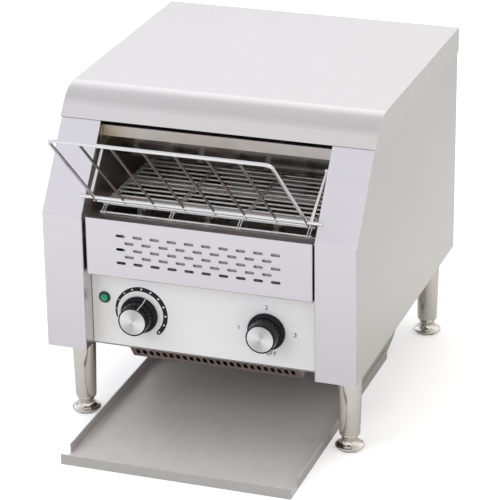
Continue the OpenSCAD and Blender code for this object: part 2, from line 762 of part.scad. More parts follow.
// A rotary control: body behind the panel, threaded collar and nut through it
module rotary_body(x, w, d) {
    difference() {
        union() {
            span([x - w / 2, control_y, knob_z - w / 2], [x + w / 2, control_y + d, knob_z + w / 2]);
            bolt(x, knob_z, panel_set - 3, control_y, collar_r);
            facing(panel_set - 2.2, panel_set) translate([x, knob_z]) circle(r = 8, $fn = 6);
        }
        bolt(x, knob_z, panel_set - 4, control_y + d - 3, spindle_r + run_fit);
    }
    for (s = [-1, 1], k = [0.25, 0.6])
        span([x + s * w * 0.3 - 3, control_y + d, knob_z + w * (k - 0.5) - 0.4],
            [x + s * w * 0.3 + 3, control_y + d + 8, knob_z + w * (k - 0.5) + 0.4]);
}

module spindle(x, d) bolt(x, knob_z, knob_base - knob_l + 6, control_y + d - 3 - gap, spindle_r);

// A skirted knob with a fluted grip, hollow behind so that it clears the nut
flutes = 24;
flute_r = 1.5;
grip_flare = 1.4;                           // how much wider the grip is at its base

module knob(x) difference() {
    front = knob_base - knob_l;
    union() {
        bolt(x, knob_z, knob_base - 3, knob_base, knob_r);
        bolt(x, knob_z, knob_base - 5, knob_base - 3, knob_r, knob_r - 2.4);
        bolt(x, knob_z, front, knob_base - 5, grip_r + grip_flare, grip_r);
    }
    for (i = [0:flutes - 1]) translate([x, 0, knob_z]) rotate([0, i * 360 / flutes, 0])
        bolt(grip_r + grip_flare + 0.5, 0, front - 1, knob_base - 5.5, flute_r);
    bolt(x, knob_z, front - 1, front + cap_t, grip_r - 1.2);
    bolt(x, knob_z, knob_base - 3.6, knob_base + 1, 9.6);
    bolt(x, knob_z, knob_base - knob_l + 6, knob_base + 1, spindle_r);
}

// The turned metal disc set into a knob's face
module knob_cap(x) bolt(x, knob_z, knob_base - knob_l - 0.5, knob_base - knob_l + cap_t, grip_r - 1.2);

regulator_w = 34;
regulator_d = 22;
switch_w = 36;
switch_d = 38;

module speed_regulator() color("steelblue") seat() rotary_body(speed_x, regulator_w, regulator_d);
module speed_spindle() color("silver") seat() spindle(speed_x, regulator_d);
module speed_knob() color("black") seat() knob(speed_x);
module speed_knob_cap() color("lightgray") seat() knob_cap(speed_x);
module selector_switch() color("dimgray") seat() rotary_body(selector_x, switch_w, switch_d);
module selector_spindle() color("silver") seat() spindle(selector_x, switch_d);
module selector_knob() color("black") seat() knob(selector_x);
module selector_knob_cap() color("lightgray") seat() knob_cap(selector_x);

module lamp_bezel() color("black") seat() difference() {
    union() {
        bolt(lamp_x, lamp_z, panel_set - 2, panel_set, lamp_r);
        bolt(lamp_x, lamp_z, panel_set, control_y + 18, lamp_r - 1.6);
    }
    bolt(lamp_x, lamp_z, panel_set - 3, control_y + 6, lamp_r - 2.4);
}

module lamp_lens() color("green") seat() {
    bolt(lamp_x, lamp_z, panel_set - 2.6, control_y + 6, lamp_r - 2.4);
    bolt(lamp_x, lamp_z, panel_set - 3.6, panel_set - 2.6, lamp_r - 4, lamp_r - 2.4);
}

board = [80, 58, 1.6];
board_at = [10.8 - wall_in, shield_y - thin - board[1] - 12.2, plate_z + 8];
relay = [18, 18, 15.4];
transformer = [26, 14, 20.4];
capacitor = [5, 18];                        // radius and height
post_in = 5;

module control_board() color("darkgreen") seat() {
    top = board_at + [0, 0, board[2]];
    for (x = [post_in, board[0] - post_in], y = [post_in, board[1] - post_in])
        translate([board_at[0] + x, board_at[1] + y, plate_z])
            cylinder(h = board_at[2] - plate_z, r = post_in - 2);
    translate(board_at) cube(board);
    translate(top + [board[0] / 8, board[1] / 5, 0]) cube(relay);
    translate(top + [board[0] / 2, board[1] / 6, 0]) cube(transformer);
    for (k = [0, 1]) translate(top + [board[0] * 0.55 + 3.2 * k * capacitor[0], board[1] * 0.72, 0])
        cylinder(h = capacitor[1], r = capacitor[0]);
}

terminals = 6;
terminal_pitch = 13.2;
terminal_r = 2.6;
block = [terminals * terminal_pitch - 1.2, 22, 18];
block_at = [board_at[0] + board[0] + 4, board_at[1] + 22, plate_z];

module terminal_block() color("ivory") seat() translate(block_at) difference() {
    cube(block);
    for (i = [0:terminals - 1], k = [0.25, 0.75])
        translate([block[0] / 2 + (i - (terminals - 1) / 2) * terminal_pitch, k * block[1], block[2] / 2])
            cylinder(h = block[2], r = terminal_r);
}

// ---------------------------------------------------------------- feed rack

module bread_rack() color("gainsboro") seat() {
    along = [-cos(arm_deg), sin(arm_deg)];
    bend = foot_bar + (arm_l - rack_bend) * along;
    heel = foot_bar - heel_drop * along;
    half = rack_w / 2;
    lap = 0.2;                                  // how far the straight wires run into the bends
    rod(-half - bar_reach, half + bar_reach, foot_bar[0], foot_bar[1], wire_r);
    rod(-half - 3, half + 3, heel[0], heel[1], heel_r);
    rod(rack_bend - half - lap, half - rack_bend + lap, rack_top[0], rack_top[1], arm_r);
    both_sides() {
        wire([half, heel[0], heel[1]], [half, bend[0] + lap * along[0], bend[1] + lap * along[1]], arm_r);
        translate([half - rack_bend, bend[0], bend[1]]) rotate([180 - arm_deg, 0, 0])
            rotate_extrude(angle = 90) translate([rack_bend, 0]) circle(arm_r + 0.05);
        wire([half + hook_step, foot_bar[0], foot_bar[1]], [hook_x, pivot[0], pivot[1]], hook_r);
        rod(hook_x - wire_r, hook_x + wire_r, pivot[0], pivot[1], wire_r);
        rod(hook_x, flange_in + sheet + pin_reach, pivot[0], pivot[1], pin_r);
    }
    for (i = [1:rung_count])
        wire([-half + i * rack_w / (rung_count + 1), heel[0], heel[1]],
            [-half + i * rack_w / (rung_count + 1), rack_top[0], rack_top[1]], rung_r);
}

// ---------------------------------------------------------------- legs and feet

module leg(x, y) translate([x, y, 0]) difference() {
    union() {
        rotate_extrude() polygon([
            [0, leg_lift], [neck_r, leg_lift], [neck_r, leg_lift + 2], [leg_low_r, plinth_z],
            [leg_top_r, body_clear], [0, body_clear]]);
        translate([0, 0, body_clear - 1]) cylinder(h = nut_h + 5 + sheet, r = stud_r);
    }
    translate([0, 0, leg_lift - 1]) cylinder(h = stud_l + stud_room + 1, r = stud_r + run_fit);
}

// A bell-shaped foot: an eight-sided base for a spanner, a flange and a hollowed neck
module foot(x, y) translate([x, y, 0]) {
    cylinder(h = foot_h * 0.25, r = foot_r * 0.82, $fn = 8);
    rotate_extrude() polygon([
        [0, foot_h * 0.2], [foot_r * 0.7, foot_h * 0.2], [foot_r, foot_h * 0.28], [foot_r, foot_h * 0.42],
        [foot_r * 0.9, foot_h * 0.5], [foot_r * 0.72, foot_h * 0.58], [foot_r * 0.6, foot_h * 0.72],
        [neck_r, foot_h * 0.9], [neck_r, foot_h], [0, foot_h]]);
    translate([0, 0, foot_h]) cylinder(h = leg_lift + stud_l - foot_h, r = stud_r);
}

module leg_front_left() color("silver") seat() leg(-leg_x, leg_ys[0]);
module leg_front_right() color("silver") seat() leg(leg_x, leg_ys[0]);
module leg_rear_left() color("silver") seat() leg(-leg_x, leg_ys[1]);
module leg_rear_right() color("silver") seat() leg(leg_x, leg_ys[1]);
module foot_front_left() color("silver") seat() foot(-leg_x, leg_ys[0]);
module foot_front_right() color("silver") seat() foot(leg_x, leg_ys[0]);
module foot_rear_left() color("silver") seat() foot(-leg_x, leg_ys[1]);
module foot_rear_right() color("silver") seat() foot(leg_x, leg_ys[1]);

module leg_nuts() color("darkgray") seat() for (s = [-1, 1], y = leg_ys) translate([s * leg_x, y, plate_z])
    difference() {
        cylinder(h = nut_h, r = nut_af / sqrt(3), $fn = 6);
        translate([0, 0, -1]) cylinder(h = nut_h + 2, r = stud_r);
    }

// ---------------------------------------------------------------- chute and tray

chute_set = 40;                             // setback of the chute's front edge behind its cheeks

// The quarter circle that the chute follows, and the sheet along its edge
module chute_sweep() intersection() {
    translate(chute_centre) circle(chute_r);
    translate([chute_centre[0], 0]) square([rear_in - chute_centre[0], body_clear]);
}

module chute_sheet() difference() {
    chute_sweep();
    translate(chute_centre) circle(chute_r - chute_t);
}

module toast_chute() color("gray") seat() {
    flat_back = chute_centre[0] + 0.5;
    across(-cheek_x, cheek_x) {
        chute_sheet();
        translate([cheek_front + chute_set, chute_z]) square([flat_back - cheek_front - chute_set, chute_t]);
    }
    both_sides() across(cheek_x - chute_t, cheek_x) {
        chute_sweep();
        translate([cheek_front, chute_z]) square([flat_back - cheek_front, body_clear - chute_z]);
    }
}

module toast_tray() color("silver") seat() {
    w = tray_w / 2;
    span([-w, -tray_reach, 0], [w, tray_back, sheet]);
    span([-w, -tray_reach, 0], [w, -tray_reach + sheet, tray_h]);
    both_sides() span([w - sheet, -tray_reach + notch_d, 0], [w, tray_back, tray_h]);
}

// ---------------------------------------------------------------- gland and screws

module cable_gland() color("black") seat() difference() {
    union() {
        facing(rear_out, rear_out + 5) translate([gland_x, gland_z]) circle(d = gland_hex, $fn = 6);
        bolt(gland_x, gland_z, rear_out + 5, rear_out + gland_l, gland_r - 1.6, gland_r + 1);
        bolt(gland_x, gland_z, rear_in - 10, rear_out, gland_r);
    }
    bolt(gland_x, gland_z, rear_in - 11, rear_out + gland_l + 1, gland_bore);
}

module gland_nut() color("black") seat() difference() {
    facing(rear_in - 5, rear_in) translate([gland_x, gland_z]) circle(d = gland_hex, $fn = 6);
    bolt(gland_x, gland_z, rear_in - 6, rear_in + 1, gland_r);
}

module rear_screws() color("silver") seat() for (s = [-1, 1], z = rear_screw_zs)
    translate([s * (side_in - side_flange / 2), rear_out, z]) rotate([-90, 0, 0]) pan_screw(screw_r, screw_l);

module bottom_screws() color("silver") seat() for (p = plate_screws)
    translate([p[0], p[1], body_clear]) rotate([180, 0, 0]) pan_screw(screw_r, screw_l);

side_panel_left();
side_panel_right();
top_cover();
rear_panel();
bottom_plate();
vent_panel();
control_panel();
perforated_guard();
feed_deflector();
inner_wall_left();
inner_wall_right();
heat_shield();
ceiling_reflector();
lower_reflector();
toast_chute();
toast_tray();
bread_rack();
leg_front_left();
leg_front_right();
leg_rear_left();
leg_rear_right();
foot_front_left();
foot_front_right();
foot_rear_left();
foot_rear_right();
leg_nuts();
conveyor_belt();
front_shaft_rod();
rear_shaft_rod();
front_sprockets();
rear_sprockets();
shaft_bushings();
driven_sprocket();
motor_sprocket();
motor_shaft();
drive_chain();
gear_motor();
motor_bracket();
upper_heaters();
lower_heaters();
heater_caps();
fan_frame();
fan_impeller();
speed_regulator();
speed_spindle();
speed_knob();
speed_knob_cap();
selector_switch();
selector_spindle();
selector_knob();
selector_knob_cap();
lamp_bezel();
lamp_lens();
control_board();
terminal_block();
cable_gland();
gland_nut();
rear_screws();
bottom_screws();
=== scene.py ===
"""Conveyor toaster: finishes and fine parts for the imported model, laid out as a Blender add-on."""
import json
import math

import bmesh
import bpy
from mathutils import Matrix, Vector


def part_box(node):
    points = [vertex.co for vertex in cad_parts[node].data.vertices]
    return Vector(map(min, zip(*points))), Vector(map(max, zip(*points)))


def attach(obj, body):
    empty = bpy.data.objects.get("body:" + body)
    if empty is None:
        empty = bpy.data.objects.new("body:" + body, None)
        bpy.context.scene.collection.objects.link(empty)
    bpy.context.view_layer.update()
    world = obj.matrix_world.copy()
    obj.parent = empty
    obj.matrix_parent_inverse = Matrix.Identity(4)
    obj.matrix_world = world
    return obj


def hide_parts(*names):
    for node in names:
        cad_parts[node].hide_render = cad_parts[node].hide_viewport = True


bl_info = {
    "name": "Conveyor toaster",
    "version": (1, 0, 0),
    "blender": (4, 5, 0),
    "location": "View3D > Sidebar > Toaster",
    "description": "Dresses the packed conveyor toaster with its finishes and fine parts",
    "category": "Object",
}

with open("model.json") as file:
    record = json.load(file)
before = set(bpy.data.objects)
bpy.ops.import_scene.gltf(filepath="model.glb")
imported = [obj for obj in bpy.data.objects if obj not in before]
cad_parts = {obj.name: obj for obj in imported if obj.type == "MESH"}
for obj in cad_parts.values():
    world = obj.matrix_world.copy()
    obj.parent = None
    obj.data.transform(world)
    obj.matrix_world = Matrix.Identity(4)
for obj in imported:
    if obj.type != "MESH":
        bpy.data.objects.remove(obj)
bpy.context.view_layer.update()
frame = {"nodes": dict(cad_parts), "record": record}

MM = 0.001
SLOT_OF = {part["node"]: part["material_slot"] for part in frame["record"]["subparts"]}
BODY_OF = {node: body for body, members in frame["record"]["behaviour"]["bodies"].items() for node in members}
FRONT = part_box("side_panel_right")[0].y      # plane of the front flanges
SHEET = 1.2 * MM                             # thickness of the folded sheets

STRIP_LOW = 337.4 * MM                       # lower edge of the bright strip above the mouth
LIP_LOW = 356.6 * MM                         # lower edge of the cover's front
LIP_SHADOW = (LIP_LOW - 0.9 * MM, LIP_LOW + 1 * MM)      # heights of the shadow painted below that edge
MERGE = 2e-6                                 # corners of a carried mesh that lie closer are one
BEND = math.radians(25)                      # the least angle at which two faces meet in an edge

ACROSS, INWARD, UP = Vector((1, 0, 0)), Vector((0, 1, 0)), Vector((0, 0, 1))

# the wire rack: its long bottom bar (y behind the front plane, z), its slope, length and half width
RACK_FOOT = (11.709 * MM, 286.1 * MM)
RACK_RISE = math.radians(42.6)
RACK_LEAN = (math.cos(RACK_RISE), math.sin(RACK_RISE))
RACK_LONG, RACK_HALF = 160.6 * MM, 123.4 * MM


def middle(node):
    """The middle of a node's box."""
    low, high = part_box(node)
    return (low + high) / 2


def half_width(node):
    """Half a node's width, which is the radius of a round part."""
    low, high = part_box(node)
    return (high.x - low.x) / 2


def beside(radius, distance, *steps):
    """Outline points near (radius, distance), each off by a pair of millimetres."""
    return [(radius + a * MM, distance + b * MM) for a, b in steps]


# ------------------------------------------------------------------ values a user would change

def colour(name, about, value):
    return bpy.props.FloatVectorProperty(name=name, description=about, default=value, size=3,
                                         subtype="COLOR", min=0.0, max=1.0)


def length(name, about, millimetres):
    return bpy.props.FloatProperty(name=name, description=about, default=millimetres * MM,
                                   min=0.0, unit="LENGTH", subtype="DISTANCE")


def share(name, about, value):
    return bpy.props.FloatProperty(name=name, description=about, default=value, min=0.0, max=1.0,
                                   subtype="FACTOR")


class SheetColours(bpy.types.PropertyGroup):
    satin: colour("Satin sheet", "Front flanges, vent panel and back", (0.710, 0.694, 0.727))
    # painted light and shade: the colour given to faces that look sideways
    side: colour("Side faces", "Outer sides of the body", (0.680, 0.665, 0.628))
    bright: colour("Cover", "Top cover", (0.835, 0.818, 0.795))
    panel: colour("Control panel", "Panel behind the knobs", (0.900, 0.900, 0.895))
    mirror: colour("Reflectors", "Polished plates inside the mouth", (0.520, 0.500, 0.485))
    # darker than bare steel: painted shade inside the body
    inner: colour("Inner sheets", "Walls and shields inside the body", (0.360, 0.350, 0.335))
    liner: colour("Vent liner", "Plate behind the slots of the vent panel", (0.480, 0.475, 0.480))
    tray: colour("Tray", "Tray and chute", (0.800, 0.775, 0.755))
    guard: colour("Air scoop", "Perforated scoop below the fan", (0.340, 0.270, 0.235))


class PartColours(bpy.types.PropertyGroup):
    chrome: colour("Chrome", "Rack wires", (0.820, 0.820, 0.815))
    # painted shade and reflection: the dark brown of the rungs
    rung_shade: colour("Rack rungs", "Plain wires across the rack", (0.250, 0.220, 0.190))
    leg: colour("Leg chrome", "Legs and feet", (0.740, 0.700, 0.640))
    belt: colour("Belt wire", "Conveyor wires", (0.820, 0.810, 0.795))
    steel: colour("Turned steel", "Shafts and sprockets", (0.420, 0.410, 0.400))
    bronze: colour("Bronze", "Shaft bushings", (0.560, 0.400, 0.180))
    chain: colour("Chain steel", "Chain and its sprockets", (0.180, 0.175, 0.170))
    motor: colour("Motor case", "Gear motor", (0.500, 0.500, 0.510))
    quartz: colour("Quartz", "Heater tubes", (0.780, 0.700, 0.640))
    ceramic: colour("Ceramic", "Heater caps and terminals", (0.820, 0.790, 0.720))
    knob: colour("Knob", "Knob bodies", (0.005, 0.005, 0.006))
    cap: colour("Knob cap", "Turned aluminium discs", (0.800, 0.800, 0.795))
    plastic: colour("Black plastic", "Fan, switch bodies, gland and bezel", (0.022, 0.022, 0.023))
    lens: colour("Lamp", "Lens of the lamp", (0.020, 0.420, 0.200))
    board: colour("Board", "Lacquered circuit board", (0.020, 0.160, 0.060))
    screw: colour("Screws", "Plated screws and nuts", (0.560, 0.555, 0.540))
    print: colour("Print", "Printed scale and marks", (0.018, 0.018, 0.018))


class Sizes(bpy.types.PropertyGroup):
    fold: length("Fold radius", "Outer radius of the sheet's folds", 1.4)
    cut: length("Cut edge", "Rounding of the sheet's cut edges", 0.16)
    grip: length("Grip radius", "Radius of a knob's grip at the front", 17.0)
    flare: length("Grip flare", "How much wider the grip is at its base", 1.4)
    flute: length("Flute radius", "Radius of the grooves along a knob's grip", 1.5)
    skirt: length("Skirt height", "Height of a knob's skirt with its sloped edge", 5.0)
    dial: length("Dial radius", "Middle radius of the printed scale", 29.6)
    ink: length("Ink", "Thickness of the printed marks", 0.06)
    belt_turn: length("Belt turn", "Radius of the belt's rod centres round its ends", 25.0)
    belt_rod: length("Belt rod", "Radius of a belt rod", 1.2)
    belt_hook: length("Belt hook", "Radius of the wire of the belt's hooks", 0.62)
    stud: length("Stud radius", "Radius of the threaded studs of the feet", 4.0)
    neck: length("Leg neck", "Radius of a leg's neck", 9.0)
    ankle: length("Leg end", "Radius of a leg above its neck", 12.0)
    bore: length("Leg bore", "Depth of the threaded hole in a leg", 40.0)
    weld: length("Weld bead", "Half the length of a weld on the rack", 2.6)


class StageValues(bpy.types.PropertyGroup):
    floor: colour("Floor", "Floor and backdrop", (0.86, 0.86, 0.86))
    sky: bpy.props.FloatProperty(name="Sky", description="Level of the light from all round", default=0.78)
    place: bpy.props.FloatVectorProperty(name="Camera place", description="Where the camera stands", size=3,
                                         default=(0.878209, -2.47706, 1.287652), unit="LENGTH")
    azimuth: bpy.props.FloatProperty(name="Azimuth", description="Round the toaster, from its front",
                                     default=math.radians(19.4058), subtype="ANGLE")
    elevation: bpy.props.FloatProperty(name="Elevation", description="Above the horizon",
                                       default=math.radians(22.8881), subtype="ANGLE")
    roll: bpy.props.FloatProperty(name="Roll", description="Lean of the camera",
                                  default=math.radians(-0.7431), subtype="ANGLE")
    lens: bpy.props.FloatProperty(name="Lens", description="Focal length on a 36 mm sensor, in millimetres",
                                  default=176.962)


# ------------------------------------------------------------------ shader expressions

class Wire:
    """An output socket of a finish, for use in expressions."""

    def __init__(self, finish, socket):
        self.finish, self.socket = finish, socket

    def __add__(self, other):
        return self.finish.maths("ADD", self, other)

    def __sub__(self, other):
        return self.finish.maths("SUBTRACT", self, other)

    def __rsub__(self, other):
        return self.finish.maths("SUBTRACT", other, self)

    def __mul__(self, other):
        return self.finish.maths("MULTIPLY", self, other)

    def __gt__(self, other):
        return self.finish.maths("GREATER_THAN", self, other)

    def __abs__(self):
        return self.finish.maths("ABSOLUTE", self)

    __radd__ = __add__
    __rmul__ = __mul__

    def ramp(self, low, high):
        """0 below low and 1 above high, smooth between."""
        return self.finish.node("ShaderNodeMapRange", {"interpolation_type": "SMOOTHSTEP", "clamp": True},
                                {"Value": self, "From Min": low, "From Max": high})


class Finish:
    """A material, or the sky of a world, that is put together node by node."""

    def __init__(self, name, world=None):
        self.material = world or bpy.data.materials.new(name)
        self.material.use_nodes = True
        self.tree = self.material.node_tree
        self.tree.nodes.clear()

    def node(self, kind, settings=None, values=None, out=0):
        """Adds a node and returns one of its outputs, or the node itself where it has none."""
        made = self.tree.nodes.new(kind)
        for key, value in (settings or {}).items():
            setattr(made, key, value)
        for key, value in (values or {}).items():
            if isinstance(value, Wire):
                self.tree.links.new(value.socket, made.inputs[key])
            else:
                made.inputs[key].default_value = value
        return Wire(self, made.outputs[out]) if len(made.outputs) else made

    def maths(self, operation, *values):
        return self.node("ShaderNodeMath", {"operation": operation}, dict(enumerate(values)))

    def place(self):
        """Place on the object, in metres."""
        return self.node("ShaderNodeTexCoord", out=3)

    def facing(self):
        """The three parts of the surface's own direction."""
        return self.parts(self.node("ShaderNodeTexCoord", out=1))

    def parts(self, vector):
        split = self.node("ShaderNodeSeparateXYZ", values={0: vector}).socket.node
        return [Wire(self, socket) for socket in split.outputs]

    def stretched(self, vector, scale):
        return self.node("ShaderNodeVectorMath", {"operation": "MULTIPLY"}, {0: vector, 1: scale})

    def noise(self, vector, scale=1.0, detail=2.0, rough=0.5):
        return self.node("ShaderNodeTexNoise", None,
                         {"Vector": vector, "Scale": scale, "Detail": detail, "Roughness": rough})

    @staticmethod
    def opaque(value):
        """A colour of three parts with the fourth added; anything else stays as it is."""
        if not isinstance(value, Wire) and hasattr(value, "__len__") and len(value) == 3:
            return (*value, 1.0)
        return value

    def mix(self, factor, first, second):
        return self.node("ShaderNodeMix", {"data_type": "RGBA"},
                         {0: factor, 6: self.opaque(first), 7: self.opaque(second)}, out=2)

    def bump(self, height, strength, distance):
        return self.node("ShaderNodeBump", None,
                         {"Strength": strength, "Distance": distance, "Height": height})

    def surface(self, **values):
        """Ends the finish with one plain shader; keys are its socket names with _ for a space."""
        inputs = {key.replace("_", " "): self.opaque(value) for key, value in values.items()}
        shader = self.node("ShaderNodeBsdfPrincipled", None, inputs)
        self.node("ShaderNodeOutputMaterial", None, {"Surface": shader})
        return self.material


def lighter(shade, share_of):
    """A colour, lighter above 1 and darker below."""
    return tuple(min(1.0, c * share_of) for c in shade)


def grained(name, shade, rough=0.30, grain=(25, 25, 3000), side=None, soil=0.0, metal=1.0, lip_shadow=0.0,
            upright=None):
    """Brushed sheet: fine lines along the sheet, with slow changes of tone as on handled steel. side and
    upright are colours painted on faces that look sideways and on all upright ones, as their light and
    shade, the sideways ones lighter towards the bottom; soil is the share of stains, and the last share
    is the strength of a shadow painted below the cover's front edge."""
    finish = Finish(name)
    place = finish.place()
    height = finish.parts(place)[2]
    lines = finish.noise(finish.stretched(place, grain), 1.0, 3.0, 0.6)
    wide = finish.noise(finish.stretched(place, tuple(g * 0.18 for g in grain)), 1.0, 2.0)
    cloud = finish.noise(place, 9.0, 3.0, 0.55)
    tone = lines * 0.5 + wide * 0.3 + cloud * 0.2
    base = finish.mix(tone, lighter(shade, 0.90), lighter(shade, 1.08))
    if side is not None:
        # painted light and shade: faces that look sideways take the side colour, lighter towards the bottom
        sideways = abs(finish.facing()[0]).ramp(0.6, 0.8)
        raised = height.ramp(0.08, 0.36)
        painted_flank = finish.mix(tone * 0.4 + raised * 0.6, lighter(side, 1.16), lighter(side, 0.90))
        base = finish.mix(sideways, base, painted_flank)
        # painted shadow: a dark band just below the cover's front edge, on faces that do not look sideways
        lip_shadow_band = (height > LIP_SHADOW[0]) * (LIP_SHADOW[1] - height > 0.0)
        base = finish.mix(lip_shadow_band * (1.0 - sideways) * lip_shadow, base, (0.02, 0.02, 0.02))
    # painted shade: upright faces take the darker upright colour, faces that look up keep the base
    if upright is not None:
        flat = finish.facing()[2].ramp(0.5, 0.9)
        base = finish.mix(flat, finish.mix(tone, lighter(upright, 0.92), lighter(upright, 1.06)), base)
    if soil:
        patches = finish.noise(place, 34.0, 4.0, 0.62).ramp(0.50, 0.74)
        base = finish.mix(patches * soil, base, lighter(shade, 0.45))
    return finish.surface(Base_Color=base, Metallic=metal,
                          Roughness=lines * 0.10 + cloud * 0.06 + (rough - 0.08),
                          Normal=finish.bump(lines, 0.25, 0.03 * MM))


def painted(name, shade):
    """Satin lacquer on sheet, with a very fine orange peel."""
    finish = Finish(name)
    place = finish.place()
    cloud = finish.noise(place, 14.0, 3.0)
    peel = finish.noise(place, 900.0, 2.0)
    return finish.surface(Base_Color=finish.mix(cloud, lighter(shade, 0.97), lighter(shade, 1.03)),
                          Roughness=cloud * 0.08 + 0.36, Normal=finish.bump(peel, 0.15, 0.05 * MM))


def polished(name, shade, rough=0.08, haze=0.10, heat=None, dull_above=None):
    """Polished metal with a light haze, and heat tint where it is given."""
    finish = Finish(name)
    place = finish.place()
    cloud = finish.noise(place, 30.0, 4.0, 0.6)
    wipe = finish.noise(finish.stretched(place, (20, 300, 300)), 1.0, 2.0)
    base = finish.mix(cloud, lighter(shade, 0.92), lighter(shade, 1.06))
    if heat is not None:
        base = finish.mix(finish.noise(place, 11.0, 3.0).ramp(0.42, 0.70) * 0.7, base, heat)
    blur = cloud.ramp(0.4, 0.8) * haze + wipe * 0.03 + rough
    if dull_above is not None:
        blur = blur + (finish.parts(place)[2] > dull_above) * 0.25
    return finish.surface(Base_Color=base, Metallic=1.0, Roughness=blur,
                          Normal=finish.bump(wipe, 0.06, 0.04 * MM))


def rack_wire(name, shade, rung_shade):
    """Chromed wire; the thin rungs between the two long bars are rougher and take a painted dark shade."""
    finish = Finish(name)
    place = finish.place()
    x, y, z = finish.parts(place)
    cloud = finish.noise(place, 30.0, 4.0, 0.6)
    # how far up the rack a point lies, and whether it is clear of the bars all round
    up = (y - (FRONT + RACK_FOOT[0])) * -RACK_LEAN[0] + (z - RACK_FOOT[1]) * RACK_LEAN[1]
    clear = 3 * MM
    between = ((up > clear + 0.2 * MM) * (RACK_LONG - clear - up > 0.0)
               * (RACK_HALF - clear - abs(x) > 0.0))
    base = finish.mix(cloud, lighter(shade, 0.92), lighter(shade, 1.06))
    # the rungs are rougher, and their dark brown is painted shade and reflection
    return finish.surface(Base_Color=finish.mix(between, base, rung_shade), Metallic=1.0,
                          Roughness=cloud.ramp(0.4, 0.8) * 0.06 + between * 0.16 + 0.05)


def turned(name, shade, rough=0.28, scale=1400.0, metal=1.0):
    """Turned or drawn metal with fine tool marks and darker places where it is oily."""
    finish = Finish(name)
    place = finish.place()
    marks = finish.noise(place, scale, 2.0)
    oil = finish.noise(place, 60.0, 3.0, 0.6)
    return finish.surface(Base_Color=finish.mix(oil, lighter(shade, 0.75), lighter(shade, 1.12)),
                          Metallic=metal, Roughness=marks * 0.12 + oil * 0.10 + (rough - 0.10),
                          Normal=finish.bump(marks, 0.2, 0.03 * MM))


def spun(name, shade):
    """Metal brushed round its middle; two opposite fan-shaped highlights are also painted into its colour."""
    finish = Finish(name)
    x, y, _ = finish.parts(finish.place())
    turn = finish.maths("ARCTAN2", y, x)
    # painted highlights: two bright and two dark sectors round the middle
    painted_fans = finish.maths("SINE", turn * 2.0 + 0.9) * 0.36 + 0.5
    rays = finish.node("ShaderNodeTexNoise", {"noise_dimensions": "1D"}, {"W": turn * 9.0, "Detail": 3.0})
    tone = painted_fans + (rays - 0.5) * 0.9
    return finish.surface(Base_Color=finish.mix(tone, lighter(shade, 0.60), lighter(shade, 1.16)),
                          Metallic=1.0, Roughness=rays * 0.08 + 0.28,
                          Anisotropic=0.85, Anisotropic_Rotation=0.25)


def moulded(name, shade, rough=0.34, texture=1600.0, depth=0.04 * MM, coat=0.0, dusty=0.10, gloss=0.5):
    """Moulded plastic with a fine spark texture and faint dust."""
    finish = Finish(name)
    place = finish.place()
    spark = finish.noise(place, texture, 2.0)
    dust = finish.noise(place, 45.0, 4.0, 0.6).ramp(0.45, 0.85)
    return finish.surface(Base_Color=finish.mix(dust * dusty, shade, (0.3, 0.3, 0.3)),
                          Roughness=dust * 0.10 + spark * 0.06 + (rough - 0.06),
                          Coat_Weight=coat, Coat_Roughness=0.08, Specular_IOR_Level=gloss,
                          Normal=finish.bump(spark, 0.25, depth))


def glazed(name, shade):
    """Glass or glazed ceramic with fine specks and a faint cloud."""
    finish = Finish(name)
    place = finish.place()
    speck = finish.noise(place, 700.0, 3.0, 0.7).ramp(0.62, 0.72)
    cloud = finish.noise(place, 50.0, 3.0)
    base = finish.mix(cloud, lighter(shade, 0.93), lighter(shade, 1.04))
    return finish.surface(Base_Color=finish.mix(speck * 0.5, base, lighter(shade, 0.5)),
                          Roughness=cloud * 0.15 + 0.22, Normal=finish.bump(cloud, 0.1, 0.2 * MM))


